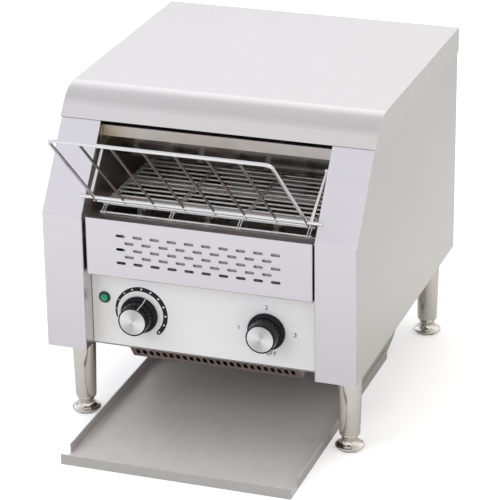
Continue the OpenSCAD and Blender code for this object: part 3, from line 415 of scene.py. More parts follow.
def make_finishes(sheets, parts):
    """All finishes by the names of the material slots, and those of the new pieces."""
    return {
        # satin and cover sheets: faces that look sideways take painted light and shade
        "satin_sheet": grained("satin_sheet", sheets.satin, side=sheets.side, lip_shadow=0.8),
        "bright_sheet": grained("bright_sheet", sheets.bright, rough=0.27, grain=(25, 3000, 3000),
                                # the cover's upright faces and bend take a darker colour, painted shade
                                side=sheets.side, upright=lighter(sheets.bright, 0.80)),
        "panel_paint": painted("panel_paint", sheets.panel),
        "mirror_sheet": polished("mirror_sheet", sheets.mirror, rough=0.10, haze=0.16,
                                 heat=(0.42, 0.33, 0.22), dull_above=STRIP_LOW),
        # inner sheets: a darker steel that is painted shade inside the body, with stains
        "inner_sheet": grained("inner_sheet", sheets.inner, rough=0.38, soil=0.3),
        "liner_sheet": grained("liner_sheet", sheets.liner, rough=0.50, metal=0.0),
        # the tray's upright walls take a darker colour, painted shade
        "tray_sheet": grained("tray_sheet", sheets.tray, rough=0.44, grain=(2400, 22, 2400), soil=0.12,
                              metal=0.15, upright=lighter(sheets.tray, 0.62)),
        "guard_sheet": grained("guard_sheet", sheets.guard, rough=0.32, soil=0.3),
        "chrome_wire": rack_wire("chrome_wire", parts.chrome, parts.rung_shade),
        "leg_chrome": polished("leg_chrome", parts.leg, rough=0.07, haze=0.08),
        "belt_wire": turned("belt_wire", parts.belt, rough=0.26, metal=0.5),
        "shaft_steel": turned("shaft_steel", parts.steel),
        "bushing_bronze": turned("bushing_bronze", parts.bronze, rough=0.40, scale=2600.0),
        "chain_steel": turned("chain_steel", parts.chain, rough=0.34),
        "motor_case": turned("motor_case", parts.motor, rough=0.42, scale=900.0),
        "quartz": glazed("quartz", parts.quartz),
        "cap_ceramic": glazed("cap_ceramic", parts.ceramic),
        "knob_black": moulded("knob_black", parts.knob, rough=0.16, texture=2400.0, depth=0.01 * MM,
                              dusty=0.005, gloss=0.22),
        "cap_metal": spun("cap_metal", parts.cap),
        "black_plastic": moulded("black_plastic", parts.plastic, rough=0.42),
        "lens_green": moulded("lens_green", parts.lens, rough=0.16, texture=900.0, depth=0.02 * MM,
                              coat=0.6),
        "board_green": moulded("board_green", parts.board, rough=0.30, texture=700.0),
        "screw_steel": turned("screw_steel", parts.screw, rough=0.26),
        "print_black": moulded("print_black", parts.print, rough=0.50, texture=2200.0, depth=0.02 * MM,
                               dusty=0.01, gloss=0.20),
        "print_white": painted("print_white", (0.86, 0.86, 0.85)),
    }


FINISHES = {}


# ------------------------------------------------------------------ mesh helpers

def linked(name, data):
    """A new object in the scene."""
    made = bpy.data.objects.new(name, data)
    bpy.context.scene.collection.objects.link(made)
    return made


def closed_mesh(name, bm, material, sharp):
    """Ends the construction of a mesh, smooth but for edges above an angle in degrees."""
    mesh = bpy.data.meshes.new(name)
    bm.to_mesh(mesh)
    bm.free()
    mesh.materials.append(material)
    mesh.shade_smooth()
    mesh.set_sharp_from_angle(angle=math.radians(sharp))
    return mesh


def piece_of(name, bm, finish, body, sharp=35.0, place=None):
    """A new piece from a mesh under construction, riding on a body."""
    bmesh.ops.recalc_face_normals(bm, faces=bm.faces)
    piece = linked(name, closed_mesh(name, bm, FINISHES[finish], sharp))
    if place is not None:
        piece.matrix_world = place
    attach(piece, body)
    return piece


def square_to(along):
    """Two directions at right angles to the first and to each other."""
    first = UP.cross(along)
    first = first.normalized() if first.length > 1e-6 else ACROSS
    return first, along.cross(first).normalized()


def lathe(bm, outline, centre, along, sides=96, bite=None, closed=False):
    """Turns an outline of (radius, distance) pairs round a line. bite(turn, radius, distance) may cut it."""
    first, second = square_to(along)
    rings = []
    for radius, distance in outline:
        foot = centre + along * distance
        if radius <= 0:
            rings.append([bm.verts.new(foot)])
            continue
        ring = []
        for k in range(sides):
            turn = 2 * math.pi * k / sides
            reach = bite(turn, radius, distance) if bite else radius
            ring.append(bm.verts.new(foot + (first * math.cos(turn) + second * math.sin(turn)) * reach))
        rings.append(ring)
    for low, high in zip(rings, rings[1:] + rings[:1] if closed else rings[1:]):
        for k in range(sides):
            j = (k + 1) % sides
            corners = [low[k % len(low)], low[j % len(low)], high[j % len(high)], high[k % len(high)]]
            corners = list(dict.fromkeys(corners))
            if len(corners) > 2:
                bm.faces.new(corners)


def tube(bm, points, radius, sides=8, closed=False):
    """A round wire along points."""
    rings = []
    count = len(points)
    lean = None
    for k, point in enumerate(points):
        before = points[k - 1] if k or closed else point
        after = points[(k + 1) % count] if k + 1 < count or closed else point
        along = (after - before).normalized()
        lean = square_to(along)[0] if lean is None else (lean - along * lean.dot(along)).normalized()
        other = along.cross(lean)
        rings.append([bm.verts.new(point + (lean * math.cos(a) + other * math.sin(a)) * radius)
                      for a in (2 * math.pi * j / sides for j in range(sides))])
    pairs = list(zip(rings, rings[1:])) + ([(rings[-1], rings[0])] if closed else [])
    for low, high in pairs:
        for j in range(sides):
            i = (j + 1) % sides
            bm.faces.new((low[j], low[i], high[i], high[j]))
    if not closed:
        bm.faces.new(rings[0][::-1])
        bm.faces.new(rings[-1])


def bar(bm, rows):
    """A closed bar through rows of four corners each."""
    rows = [[bm.verts.new(corner) for corner in row] for row in rows]
    for a, b in zip(rows, rows[1:]):
        for i, j in ((0, 2), (2, 3), (3, 1), (1, 0)):
            bm.faces.new((a[i], a[j], b[j], b[i]))
    for row in (rows[0], rows[-1]):
        bm.faces.new((row[0], row[1], row[3], row[2]))


def slab(bm, left, right, near, far):
    """A thin plate between two lines of (x, z) pairs, from depth near to depth far."""
    bar(bm, [[(x, y, z) for x, z in (a, b) for y in (near, far)] for a, b in zip(left, right)])


def stroke(bm, line, width, near, far):
    """A printed pen stroke with cut ends along (x, z) pairs."""
    left, right = [], []
    for k, point in enumerate(line):
        here = Vector(point)
        before = here - Vector(line[k - 1]) if k else Vector(line[1]) - here
        after = Vector(line[k + 1]) - here if k + 1 < len(line) else before
        way = (before.normalized() + after.normalized()).normalized()
        out = Vector((-way.y, way.x)) * (width / 2) / max(0.5, way.dot(before.normalized()))
        left.append(here + out)
        right.append(here - out)
    slab(bm, left, right, near, far)


def disc(bm, x, z, radius, near, far):
    """A round dot that faces the front."""
    lathe(bm, [(0, 0), (radius, 0), (radius, far - near), (0, far - near)], Vector((x, near, z)), INWARD, 20)


def rounded(outline, corner, steps=3):
    """The same outline with each of its inner corners rounded off."""
    smooth = [outline[0]]
    for before, here, after in zip(outline, outline[1:], outline[2:]):
        a, b, c = Vector(before), Vector(here), Vector(after)
        reach = min(corner, (b - a).length * 0.45, (c - b).length * 0.45)
        start, end = b + (a - b).normalized() * reach, b + (c - b).normalized() * reach
        for k in range(steps + 1):
            t = k / steps
            smooth.append(tuple(start * (1 - t) ** 2 + b * 2 * t * (1 - t) + end * t ** 2))
    smooth.append(outline[-1])
    return smooth


def meets(edge, convex):
    """Whether two faces meet at the edge at a real angle, outwards or inwards."""
    return len(edge.link_faces) == 2 and edge.is_convex == convex and edge.calc_face_angle(0.0) > BEND


def fold_edges(bm, thickness):
    """The outer edges of folds: convex edges with a parallel inner edge one sheet thickness away."""
    inner = [(edge.verts[0].co.copy(), edge.verts[1].co - edge.verts[0].co)
             for edge in bm.edges if meets(edge, False)]
    found = set()
    for edge in bm.edges:
        if not meets(edge, True):
            continue
        mid = (edge.verts[0].co + edge.verts[1].co) / 2
        way = (edge.verts[1].co - edge.verts[0].co).normalized()
        for start, run in inner:
            along = run / run.length
            reach = (mid - start).dot(along)
            if abs(along.dot(way)) < 0.995 or not -2 * MM < reach < run.length + 2 * MM:
                continue
            gap = (mid - start - along * reach).length
            if 0.95 * thickness < gap < 1.9 * thickness:
                found.add(edge.index)
                break
    return found


def softened(node, sizes, fold=1.0, drop=0.0, hidden=math.inf):
    """A copy of a node with rounded folds and broken edges, which stands for the node. fold is a share
    of the usual fold radius; drop lowers the node's top edge; edges above hidden, under the cover, stay
    sharp."""
    bm = bmesh.new()
    bm.from_mesh(frame["nodes"][node].data)
    bmesh.ops.remove_doubles(bm, verts=bm.verts, dist=MERGE)
    bmesh.ops.dissolve_limit(bm, angle_limit=math.radians(0.4), verts=bm.verts, edges=bm.edges)
    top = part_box(node)[1].z
    for vert in bm.verts:
        if drop and vert.co.z > top - 1.5 * MM:
            vert.co.z -= drop
    bm.normal_update()
    bm.edges.ensure_lookup_table()
    bm.edges.index_update()
    folds = fold_edges(bm, SHEET)
    weight = bm.edges.layers.float.new("bevel_weight_edge")
    for edge in bm.edges:
        if meets(edge, True) and min(vert.co.z for vert in edge.verts) <= hidden:
            edge[weight] = fold * (1.0 if edge.index in folds else sizes.cut / sizes.fold)
    name = node + "_dressed"
    piece = linked(name, closed_mesh(name, bm, FINISHES[SLOT_OF[node]], sharp=30.0))
    bevel = piece.modifiers.new("edges", "BEVEL")
    bevel.limit_method = "WEIGHT"
    bevel.width = sizes.fold
    bevel.segments = 3
    bevel.use_clamp_overlap = False
    bevel.miter_outer = "MITER_SHARP"
    normals = piece.modifiers.new("normals", "WEIGHTED_NORMAL")
    normals.keep_sharp = True
    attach(piece, BODY_OF[node])
    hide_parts(node)


# ------------------------------------------------------------------ operators

class TOASTER_OT_stage(bpy.types.Operator):
    """Makes the floor, the soft studio light and the camera"""
    bl_idname = "toaster.stage"
    bl_label = "Stage"

    def execute(self, context):
        values = context.scene.toaster_stage
        self.floor(values)
        self.sky(context, values)
        self.lamps()
        self.camera(context, values)
        return {"FINISHED"}

    @staticmethod
    def floor(values):
        finish = Finish("floor")
        path = finish.node("ShaderNodeLightPath").socket.node
        x, y, _ = finish.parts(finish.place())
        # white for the camera; metal also sees it brighter in front of the toaster
        far = (x * x + y * y).ramp(0.12, 0.64) * (0.0 - y).ramp(0.0, 0.3)
        lift_by = (Wire(finish, path.outputs["Is Camera Ray"]) * 0.45
                   + Wire(finish, path.outputs["Is Glossy Ray"]) * far * 0.15)
        mottle = finish.noise(finish.place(), 3.0, 2.0)
        plain = finish.node("ShaderNodeBsdfDiffuse", None, {
            "Color": finish.mix(mottle, lighter(values.floor, 0.99), values.floor)})
        lift = finish.node("ShaderNodeEmission", None, {"Color": (1, 1, 1, 1), "Strength": lift_by})
        both = finish.node("ShaderNodeAddShader", None, {0: plain, 1: lift})
        finish.node("ShaderNodeOutputMaterial", None, {"Surface": both})
        bm = bmesh.new()
        bmesh.ops.create_circle(bm, cap_ends=True, segments=96, radius=9.0)
        floor = linked("floor", closed_mesh("floor", bm, finish.material, sharp=30.0))

    @staticmethod
    def sky(context, values):
        world = bpy.data.worlds.new("studio")
        context.scene.world = world
        finish = Finish("studio", world)
        path = finish.node("ShaderNodeLightPath").socket.node
        camera_ray = Wire(finish, path.outputs["Is Camera Ray"])
        glossy_ray = Wire(finish, path.outputs["Is Glossy Ray"])
        x, _, z = finish.parts(finish.node("ShaderNodeTexCoord", out=0))
        tint = finish.mix(x.ramp(-0.9, 0.9), (0.93, 0.93, 1.0), (1.0, 0.985, 0.95))
        # what metal mirrors: a bright band at half height, darker overhead, a dark stripe at each side
        level = 0.95 + z.ramp(0.38, 0.48) * 0.36 - z.ramp(0.56, 0.68) * 0.26 - z.ramp(0.72, 0.90) * 0.36
        low = 1.0 - z.ramp(0.25, 0.5)
        for middle_x, inner, outer, dark in ((0.62, 0.05, 0.22, 0.55), (-0.80, 0.04, 0.18, 0.5)):
            level = level * (1.0 - (1.0 - abs(x - middle_x).ramp(inner, outer)) * low * dark)
        strength = glossy_ray * level + (1.0 - glossy_ray) * values.sky
        lit = finish.node("ShaderNodeBackground", None, {"Color": tint, "Strength": strength})
        white = finish.node("ShaderNodeBackground", None, {"Color": (1, 1, 1, 1), "Strength": 1.0})
        shown = finish.node("ShaderNodeMixShader", None, {0: camera_ray, 1: lit, 2: white})
        finish.node("ShaderNodeOutputWorld", None, {"Surface": shown})
        context.scene.view_settings.view_transform = "Standard"

    @staticmethod
    def lamps():
        aim = Vector((0, 0, 0.2))
        for name, place, size, power, tint in (
            ("overhead", (-0.3, 0.3, 2.6), (2.4, 2.0), 16.0, (1.0, 0.995, 0.985)),
            ("left_front", (-1.7, -2.2, 1.7), (1.6, 1.6), 17.0, (0.96, 0.97, 1.0)),
        ):
            lamp = bpy.data.lights.new(name, "AREA")
            lamp.shape, lamp.size, lamp.size_y = "RECTANGLE", size[0], size[1]
            lamp.energy, lamp.color = power, tint
            holder = linked(name, lamp)
            holder.location = place
            holder.visible_glossy = False
            holder.rotation_euler = (aim - holder.location).to_track_quat("-Z", "Y").to_euler()

    @staticmethod
    def camera(context, values):
        az, el, roll = values.azimuth, values.elevation, values.roll
        back = Vector((math.sin(az) * math.cos(el), -math.cos(az) * math.cos(el), math.sin(el)))
        level = Vector((math.cos(az), math.sin(az), 0.0))
        above = back.cross(level)
        right = level * math.cos(roll) + above * math.sin(roll)
        up = above * math.cos(roll) - level * math.sin(roll)
        data = bpy.data.cameras.new("camera")
        data.sensor_width, data.lens = 36.0, values.lens
        data.clip_start, data.clip_end = 0.05, 60.0
        camera = linked("camera", data)
        turned_to = Matrix((right, up, back)).transposed().to_4x4()
        camera.matrix_world = Matrix.Translation(values.place) @ turned_to
        context.scene.camera = camera


class TOASTER_OT_finishes(bpy.types.Operator):
    """Gives each carried part its finish"""
    bl_idname = "toaster.finishes"
    bl_label = "Finishes"

    def execute(self, context):
        scene = context.scene
        FINISHES.update(make_finishes(scene.toaster_sheets, scene.toaster_parts))
        for node, shown in frame["nodes"].items():
            if not shown.material_slots:
                raise RuntimeError(f"{node} has no material slot")
            for slot in shown.material_slots:
                slot.material = FINISHES[SLOT_OF[node]]
        return {"FINISHED"}


class TOASTER_OT_panels(bpy.types.Operator):
    """Rounds the folds and breaks the edges of the sheet parts"""
    bl_idname = "toaster.panels"
    bl_label = "Sheet parts"

    # what each sheet part needs beyond the usual folds; thin free ends take a small radius only
    SHEETS = {
        "rear_panel": {}, "vent_panel": {}, "control_panel": {}, "perforated_guard": {},
        "side_panel_left": {"hidden": LIP_LOW}, "side_panel_right": {"hidden": LIP_LOW},
        "top_cover": {"fold": 0.3}, "toast_chute": {"fold": 0.3}, "toast_tray": {"fold": 0.3},
        "feed_deflector": {"drop": 1.7 * MM},
    }

    # the plate close behind the vent panel, which fills all slots but the lowest row and two at the left
    LINER = ((-88.5 * MM, 131 * MM), (FRONT + 5.6 * MM, FRONT + 6.6 * MM), (218.4 * MM, 251 * MM))

    def execute(self, context):
        sizes = context.scene.toaster_sizes
        for node, needs in self.SHEETS.items():
            softened(node, sizes, **needs)
        bm = bmesh.new()
        bmesh.ops.create_cube(bm, size=1.0)
        for vert in bm.verts:
            vert.co = [low + (high - low) * (c + 0.5) for c, (low, high) in zip(vert.co, self.LINER)]
        bmesh.ops.bevel(bm, geom=bm.edges[:], offset=0.2 * MM, segments=1)
        piece_of("vent_liner", bm, "liner_sheet", "housing")
        return {"FINISHED"}


class TOASTER_OT_knobs(bpy.types.Operator):
    """Makes both fluted knobs with their turned discs and pointer lines"""
    bl_idname = "toaster.knobs"
    bl_label = "Knobs"

    FLUTES = 24
    POINTERS = {"speed": math.radians(67.5), "selector": math.radians(187.5)}

    def execute(self, context):
        sizes = context.scene.toaster_sizes
        for control, turn in self.POINTERS.items():
            low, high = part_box(control + "_knob")
            cap_low, cap_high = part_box(control + "_knob_cap")
            self.centre = Vector(((low.x + high.x) / 2, low.y, (low.z + high.z) / 2))
            self.base, self.skirt_r = high.y - low.y, half_width(control + "_knob")
            self.cap_r, self.cap_t = half_width(control + "_knob_cap") - 0.5 * MM, cap_high.y - low.y
            self.grip_end, self.grip_r = self.base - sizes.skirt, sizes.grip + sizes.flare
            body = control + "_control"
            knob = piece_of(control + "_knob_body", self.knob(sizes), "knob_black", body)
            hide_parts(control + "_knob")
            # the disc's own upright axis is the knob's axis, so its brushing runs round the middle
            place = Matrix.Translation(self.centre) @ Matrix.Rotation(math.radians(-90), 4, "X")
            turned_disc = piece_of(control + "_knob_disc", self.cap(low.y - cap_low.y), "cap_metal", body,
                                   sharp=20.0, place=place)
            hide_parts(control + "_knob_cap")
            piece_of(control + "_pointer", self.pointer(sizes, turn), "print_white", body)
        return {"FINISHED"}

    def knob(self, sizes):
        """The body of a knob: a fluted grip that flares, a sloped skirt, and a hollow for the disc."""
        flute_r = self.grip_r + 0.5 * MM
        step = 2 * math.pi / self.FLUTES

        def bite(turn, radius, distance):
            if not 0.1 * MM < distance < self.grip_end - 0.4 * MM or radius < sizes.grip - 0.1 * MM:
                return radius
            off = (turn + step / 2) % step - step / 2
            across = flute_r * math.sin(off)
            if abs(across) >= sizes.flute:
                return radius
            return min(radius, flute_r * math.cos(off) - math.sqrt(sizes.flute ** 2 - across ** 2))

        rings = 12
        grip = [(sizes.grip + sizes.flare * k / rings, 0.3 * MM + (self.grip_end - 0.7 * MM) * k / rings)
                for k in range(rings + 1)]
        outline = [
            (0, self.cap_t), *beside(self.cap_r, self.cap_t, (0.05, 0)),
            *beside(self.cap_r, 0, (0.05, 0.2), (0.2, 0)),
            *beside(sizes.grip, 0, (-0.25, 0), (-0.05, 0.12)), *grip,
            *beside(self.grip_r, self.grip_end, (0, -0.1), (0.15, 0)),
            *beside(self.skirt_r, self.grip_end, (-2.5, 0), (-2.2, 0.15)),
            *beside(self.skirt_r, self.base, (-0.4, -3.3), (-0.08, -2.8), (0, -2.4), (0, -0.3), (-0.25, 0)),
            *beside(0, self.base, (9.6, 0), (9.6, -3.6), (3, -3.6)), *beside(0, 0, (3, 6), (0, 6))]
        bm = bmesh.new()
        lathe(bm, outline, self.centre, INWARD, self.FLUTES * 12, bite)
        return bm

    def cap(self, proud):
        """A disc with fine turned grooves; the fan of glints on it is painted in by its finish."""
        rings, groove = 40, 0.012 * MM
        reach = self.cap_r - 0.75 * MM
        face = [(reach * (1 - k / rings), -proud + (k % 2) * groove) for k in range(rings)]
        outline = [*beside(0, self.cap_t, (0, -0.02)), *beside(self.cap_r, self.cap_t, (-0.03, -0.02)),
                   *beside(self.cap_r, -proud * 0.3, (-0.03, 0)), *beside(self.cap_r, -proud, (-0.35, 0)),
                   *face, *beside(0, -proud, (0, 0.03))]
        bm = bmesh.new()
        lathe(bm, outline, Vector((0, 0, 0)), UP, 128)
        return bm

    def pointer(self, sizes, turn):
        """A white line over the skirt and along the grip."""
        line = [*beside(sizes.grip, 0, (-0.75, -0.05), (0.02, -0.05), (0.08, 0.25)),
                *beside(self.grip_r, self.grip_end, (0.08, -0.06)),
                *beside(self.skirt_r, self.grip_end, (-2.35, -0.06)),
                *beside(self.skirt_r, self.base, (-0.28, -3.4), (0.05, -2.8), (0.05, -0.6))]
        out = Vector((math.cos(turn), 0, math.sin(turn)))
        wide = Vector((-out.z, 0, out.x)) * 0.5 * MM
        sunk = 0.12 * MM
        bm = bmesh.new()
        bar(bm, [[self.centre + out * r + INWARD * d + s
                  for r, d in ((radius, distance), (radius - sunk, distance + sunk)) for s in (wide, -wide)]
                 for radius, distance in line])
        return bm


class TOASTER_OT_print(bpy.types.Operator):
    """Prints the speed scale and the selector's numbers on the control panel"""
    bl_idname = "toaster.print"
    bl_label = "Printed marks"

    START, END = math.radians(197), math.radians(-51)
    OFF = (1.6 * MM, 1.3 * MM)                   # of the scale's middle from the knob's
    DOTS = [math.radians(-43.5 + 21.8 * k) for k in range(11)]
    PEN = 0.75 * MM
    TALL = 4.6 * MM
    # each sign as pen strokes on a square of height 1
    SIGNS = {
        "1": [[(0.15, 0.75), (0.40, 1.0), (0.40, 0.0)]],
        "2": [[(0.05, 0.78), (0.15, 0.95), (0.35, 1.0), (0.55, 0.93), (0.60, 0.72), (0.48, 0.50),
               (0.05, 0.0), (0.65, 0.0)]],
        "3": [[(0.05, 0.90), (0.30, 1.0), (0.55, 0.92), (0.60, 0.75), (0.50, 0.58), (0.28, 0.53)],
              [(0.28, 0.53), (0.53, 0.48), (0.63, 0.28), (0.55, 0.08), (0.30, 0.0), (0.03, 0.10)]],
        "O": [[(0.30 + 0.28 * math.sin(k * math.pi / 8), 0.5 + 0.5 * math.cos(k * math.pi / 8))
               for k in range(17)]],
        "F": [[(0.60, 1.0), (0.08, 1.0), (0.08, 0.0)], [(0.08, 0.53), (0.50, 0.53)]],
    }

    def execute(self, context):
        sizes = context.scene.toaster_sizes
        self.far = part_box("control_panel")[0].y
        self.near = self.far - sizes.ink
        speed, selector = middle("speed_knob"), middle("selector_knob")
        piece_of("speed_scale", self.band(speed, sizes.dial), "print_black", "housing")
        bm = bmesh.new()
        for turn in self.DOTS:
            x, z = self.on_scale(speed, turn, sizes.dial)
            disc(bm, x, z, self.half(turn) * 0.42, self.near - 0.03 * MM, self.near)
        piece_of("speed_scale_dots", bm, "print_white", "housing")
        bm = bmesh.new()
        for text, x, z in (("1", -33, 0.5), ("2", 0, 28.8), ("3", 33, 0), ("OFF", 5.5, -26.4)):
            self.word(bm, text, selector.x + x * MM, selector.z + z * MM)
        piece_of("selector_marks", bm, "print_black", "housing")
        return {"FINISHED"}

    def on_scale(self, centre, turn, radius):
        """The (x, z) place of a point of the scale."""
        return (centre.x + self.OFF[0] + radius * math.cos(turn),
                centre.z + self.OFF[1] + radius * math.sin(turn))

    def half(self, turn):
        """Half the width of the scale, which grows clockwise."""
        part = (self.START - turn) / (self.START - self.END)
        return (0.75 + 2.05 * math.sin(math.pi * min(1.0, part * 1.25) ** 0.9 * 0.62)) * MM

    def band(self, centre, radius):
        """The scale's band, with rounded ends."""
        inner, outer = [], []
        steps, round_steps = 96, 3
        for k in range(steps + 1):
            turn = self.START + (self.END - self.START) * k / steps
            ends = min(k, steps - k) / round_steps
            half = self.half(turn) * (math.sqrt(1 - (1 - ends) ** 2) if ends < 1 else 1) + 0.02 * MM
            inner.append(self.on_scale(centre, turn, radius - half))
            outer.append(self.on_scale(centre, turn, radius + half))
        bm = bmesh.new()
        slab(bm, inner, outer, self.near, self.far)
        return bm

    def word(self, bm, text, x, z):
        """Writes a text with its middle at (x, z)."""
        step = 0.92 * self.TALL
        left = x - step * (len(text) - 1) / 2 - 0.3 * self.TALL
        for k, sign in enumerate(text):
            for line in self.SIGNS[sign]:
                stroke(bm, [(left + step * k + a * self.TALL, z + (b - 0.5) * self.TALL) for a, b in line],
                       self.PEN, self.near, self.far)


class TOASTER_OT_lamp(bpy.types.Operator):
    """Makes the lamp's ringed lens and its rounded bezel"""
    bl_idname = "toaster.lamp"
    bl_label = "Lamp"

    RINGS = 7

    def execute(self, context):
        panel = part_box("control_panel")[0].y
        low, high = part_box("lamp_bezel")
        lens_low, lens_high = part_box("lamp_lens")
        rim, hole = half_width("lamp_bezel"), half_width("lamp_lens")
        centre = Vector(((low.x + high.x) / 2, low.y, (low.z + high.z) / 2))
        face, neck, seat, end = panel - low.y, rim - 1.6 * MM, lens_high.y - low.y, high.y - low.y
        bm = bmesh.new()
        lathe(bm, [(0, seat), (hole, seat), *beside(hole, 0, (0, 0.6), (0.25, 0.1), (0.6, 0)),
                   *beside(rim, 0, (-1.0, 0.15), (-0.25, 0.75), (0, 1.3)), (rim, face), (neck, face),
                   (neck, end), (0, end)], centre, INWARD, 72)
        bezel = piece_of("lamp_ring", bm, "black_plastic", "housing")
        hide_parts("lamp_bezel")
        rings = beside(hole, 0, (-0.02, 0.5), (-0.12, -0.35))
        for k in range(self.RINGS):
            part = k / self.RINGS
            rings += beside((hole - 0.25 * MM) * (1 - part), -0.6 * MM * part, (0, -0.45), (-0.22, -0.72))
        proud = lens_low.y - low.y
        rings = [(max(r, 0.05 * MM), max(proud, d)) for r, d in rings]
        bm = bmesh.new()
        lathe(bm, [*beside(0, seat, (0, -0.05)), *beside(hole, seat, (-0.02, -0.05)), *rings,
                   (0, max(proud, -1.3 * MM))], centre, INWARD, 48)
        lens = piece_of("lamp_glass", bm, "lens_green", "housing", sharp=20.0)
        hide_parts("lamp_lens")
        return {"FINISHED"}


class TOASTER_OT_belt(bpy.types.Operator):
    """Makes the wire belt: cross rods, each hooked round the next"""
    bl_idname = "toaster.belt"
    bl_label = "Belt"

    RODS = 60
    LINKS = (-120 * MM, -40 * MM, 40 * MM, 120 * MM)    # middles of the links across the belt
    LINK_HALF = 1.5 * MM                                # from a link's middle to its two hooked wires

    def execute(self, context):
        sizes = context.scene.toaster_sizes
        front, back = middle("front_shaft_rod"), middle("rear_shaft_rod")
        low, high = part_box("conveyor_belt")
        half = (high.x - low.x) / 2
        turn, rod, hook = sizes.belt_turn, sizes.belt_rod, sizes.belt_hook
        flat, bow = back.y - front.y, math.pi * turn
        whole = 2 * (flat + bow)

        def loop(s):
            """A point of the belt's loop, s along it from the top of the front turn."""
            s %= whole
            if s < flat:
                return Vector((0, front.y + s, front.z + turn))
            if s < flat + bow:
                a = math.pi / 2 - (s - flat) / turn
                return Vector((0, back.y + turn * math.cos(a), back.z + turn * math.sin(a)))
            if s < 2 * flat + bow:
                return Vector((0, back.y - (s - flat - bow), back.z - turn))
            a = 1.5 * math.pi - (s - 2 * flat - bow) / turn
            return Vector((0, front.y + turn * math.cos(a), front.z + turn * math.sin(a)))

        bm = bmesh.new()
        ring, pitch = rod + hook, whole / self.RODS
        rod_line = [(0, -half), (rod * 0.7, -half + 0.1 * MM), (rod, -half + 0.5 * MM),
                    (rod, half - 0.5 * MM), (rod * 0.7, half - 0.1 * MM), (0, half)]
        for k in range(self.RODS):
            here, there = loop((k + 0.5) * pitch), loop((k + 1.5) * pitch)
            lathe(bm, rod_line, here, ACROSS, 10)
            along = (there - here).normalized()
            out = ACROSS.cross(along)
            for x in [link + side * self.LINK_HALF for link in self.LINKS for side in (-1, 1)]:
                start, end = here + ACROSS * x, there + ACROSS * x
                # the wire starts beside its own rod and hooks round the next one
                line = [start - along * ring * 0.2 + out * ring * 0.98,
                        start + along * 1.6 * MM + out * ring * 0.8]
                for a in (math.radians(115 - 32 * step) for step in range(9)):
                    line.append(end + along * ring * math.cos(a) + out * ring * math.sin(a))
                tube(bm, line, hook, 6)
        belt = piece_of("wire_belt", bm, "belt_wire", BODY_OF["conveyor_belt"])
        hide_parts("conveyor_belt")
        return {"FINISHED"}


class TOASTER_OT_rack(bpy.types.Operator):
    """Adds the weld beads where the rack's wires cross"""
    bl_idname = "toaster.rack"
    bl_label = "Rack welds"

    RUNGS = 6
    HEEL = 8.5 * MM

    def execute(self, context):
        bead = context.scene.toaster_sizes.weld
        foot = Vector((0, FRONT + RACK_FOOT[0], RACK_FOOT[1]))
        along = Vector((0, -RACK_LEAN[0], RACK_LEAN[1]))
        top = foot + along * RACK_LONG
        heel = foot - along * self.HEEL
        bm = bmesh.new()
        step = 2 * RACK_HALF / (self.RUNGS + 1)
        for k in range(self.RUNGS + 2):
            x = Vector((k * step - RACK_HALF, 0, 0))
            self.bead(bm, foot + x, along, bead)
            self.bead(bm, heel + x, along, bead)
            if 0 < k <= self.RUNGS:
                self.bead(bm, top + x - along * MM, along, bead)
        piece_of("rack_welds", bm, "chrome_wire", "rack")
        return {"FINISHED"}

    @staticmethod
    def bead(bm, centre, along, reach):
        turns = (math.pi * k / 8 for k in range(1, 8))
        arc = [(math.sin(a) * 2.15 * MM, -math.cos(a) * reach) for a in turns]
        lathe(bm, [(0, -reach), *arc, (0, reach)], centre, along, 12)


class TOASTER_OT_legs(bpy.types.Operator):
    """Turns the chromed legs and the screw feet"""
    bl_idname = "toaster.legs"
    bl_label = "Legs and feet"

    CORNERS = {"front_left": "fl", "front_right": "fr", "rear_left": "rl", "rear_right": "rr"}

    def execute(self, context):
        sizes = context.scene.toaster_sizes
        for corner, tag in self.CORNERS.items():
            low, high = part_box("leg_" + corner)
            foot_low, foot_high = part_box("foot_" + corner)
            self.centre = Vector(((low.x + high.x) / 2, (low.y + high.y) / 2, 0))
            leg = piece_of("turned_leg_" + corner, self.leg(sizes, low.z, high.z, (high.x - low.x) / 2),
                           "leg_chrome", "housing")
            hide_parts("leg_" + corner)
            foot = piece_of("turned_foot_" + corner,
                            self.foot(sizes, low.z, foot_high.z, (foot_high.x - foot_low.x) / 2),
                            SLOT_OF["foot_" + corner], "foot_" + tag)
            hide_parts("foot_" + corner)
        return {"FINISHED"}

    def leg(self, sizes, low, high, wide):
        """A tapered leg with a neck, a threaded hole below and a stud above."""
        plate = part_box("bottom_plate")[0].z
        run = sizes.stud + 0.05 * MM
        outline = rounded([
            (0, low + sizes.bore), (run, low + sizes.bore), (run, low), (sizes.neck, low),
            (sizes.neck, low + 2 * MM), (sizes.ankle, low + 7 * MM), (wide, plate), (sizes.stud, plate),
            *beside(sizes.stud, high, (0, -0.6), (-0.6, 0)), (0, high)], 0.5 * MM)
        bm = bmesh.new()
        lathe(bm, outline, self.centre, UP)
        return bm

    def foot(self, sizes, gap_low, stud_top, wide):
        """A foot with eight flats below, a round body and a stud."""
        tall = gap_low - 0.4 * MM
        flat, spanner = tall * 0.25, wide * 0.82
        bm = bmesh.new()
        lathe(bm, [(0, 0), *beside(spanner, 0, (-0.6, 0), (0, 0.5)), (spanner, flat), (0, flat)],
              self.centre, UP, 8)
        # shares of the foot's radius and height
        body = ((0.7, 0.2), (1.0, 0.28), (1.0, 0.42), (0.9, 0.5), (0.72, 0.58), (0.6, 0.72))
        outline = rounded([
            (0, tall * 0.2), *((wide * a, tall * b) for a, b in body), (sizes.neck, tall * 0.9),
            (sizes.neck, tall), (sizes.stud, tall), *beside(sizes.stud, stud_top, (0, -0.6), (-0.5, 0)),
            (0, stud_top)], 0.7 * MM)
        lathe(bm, outline, self.centre, UP)
        return bm


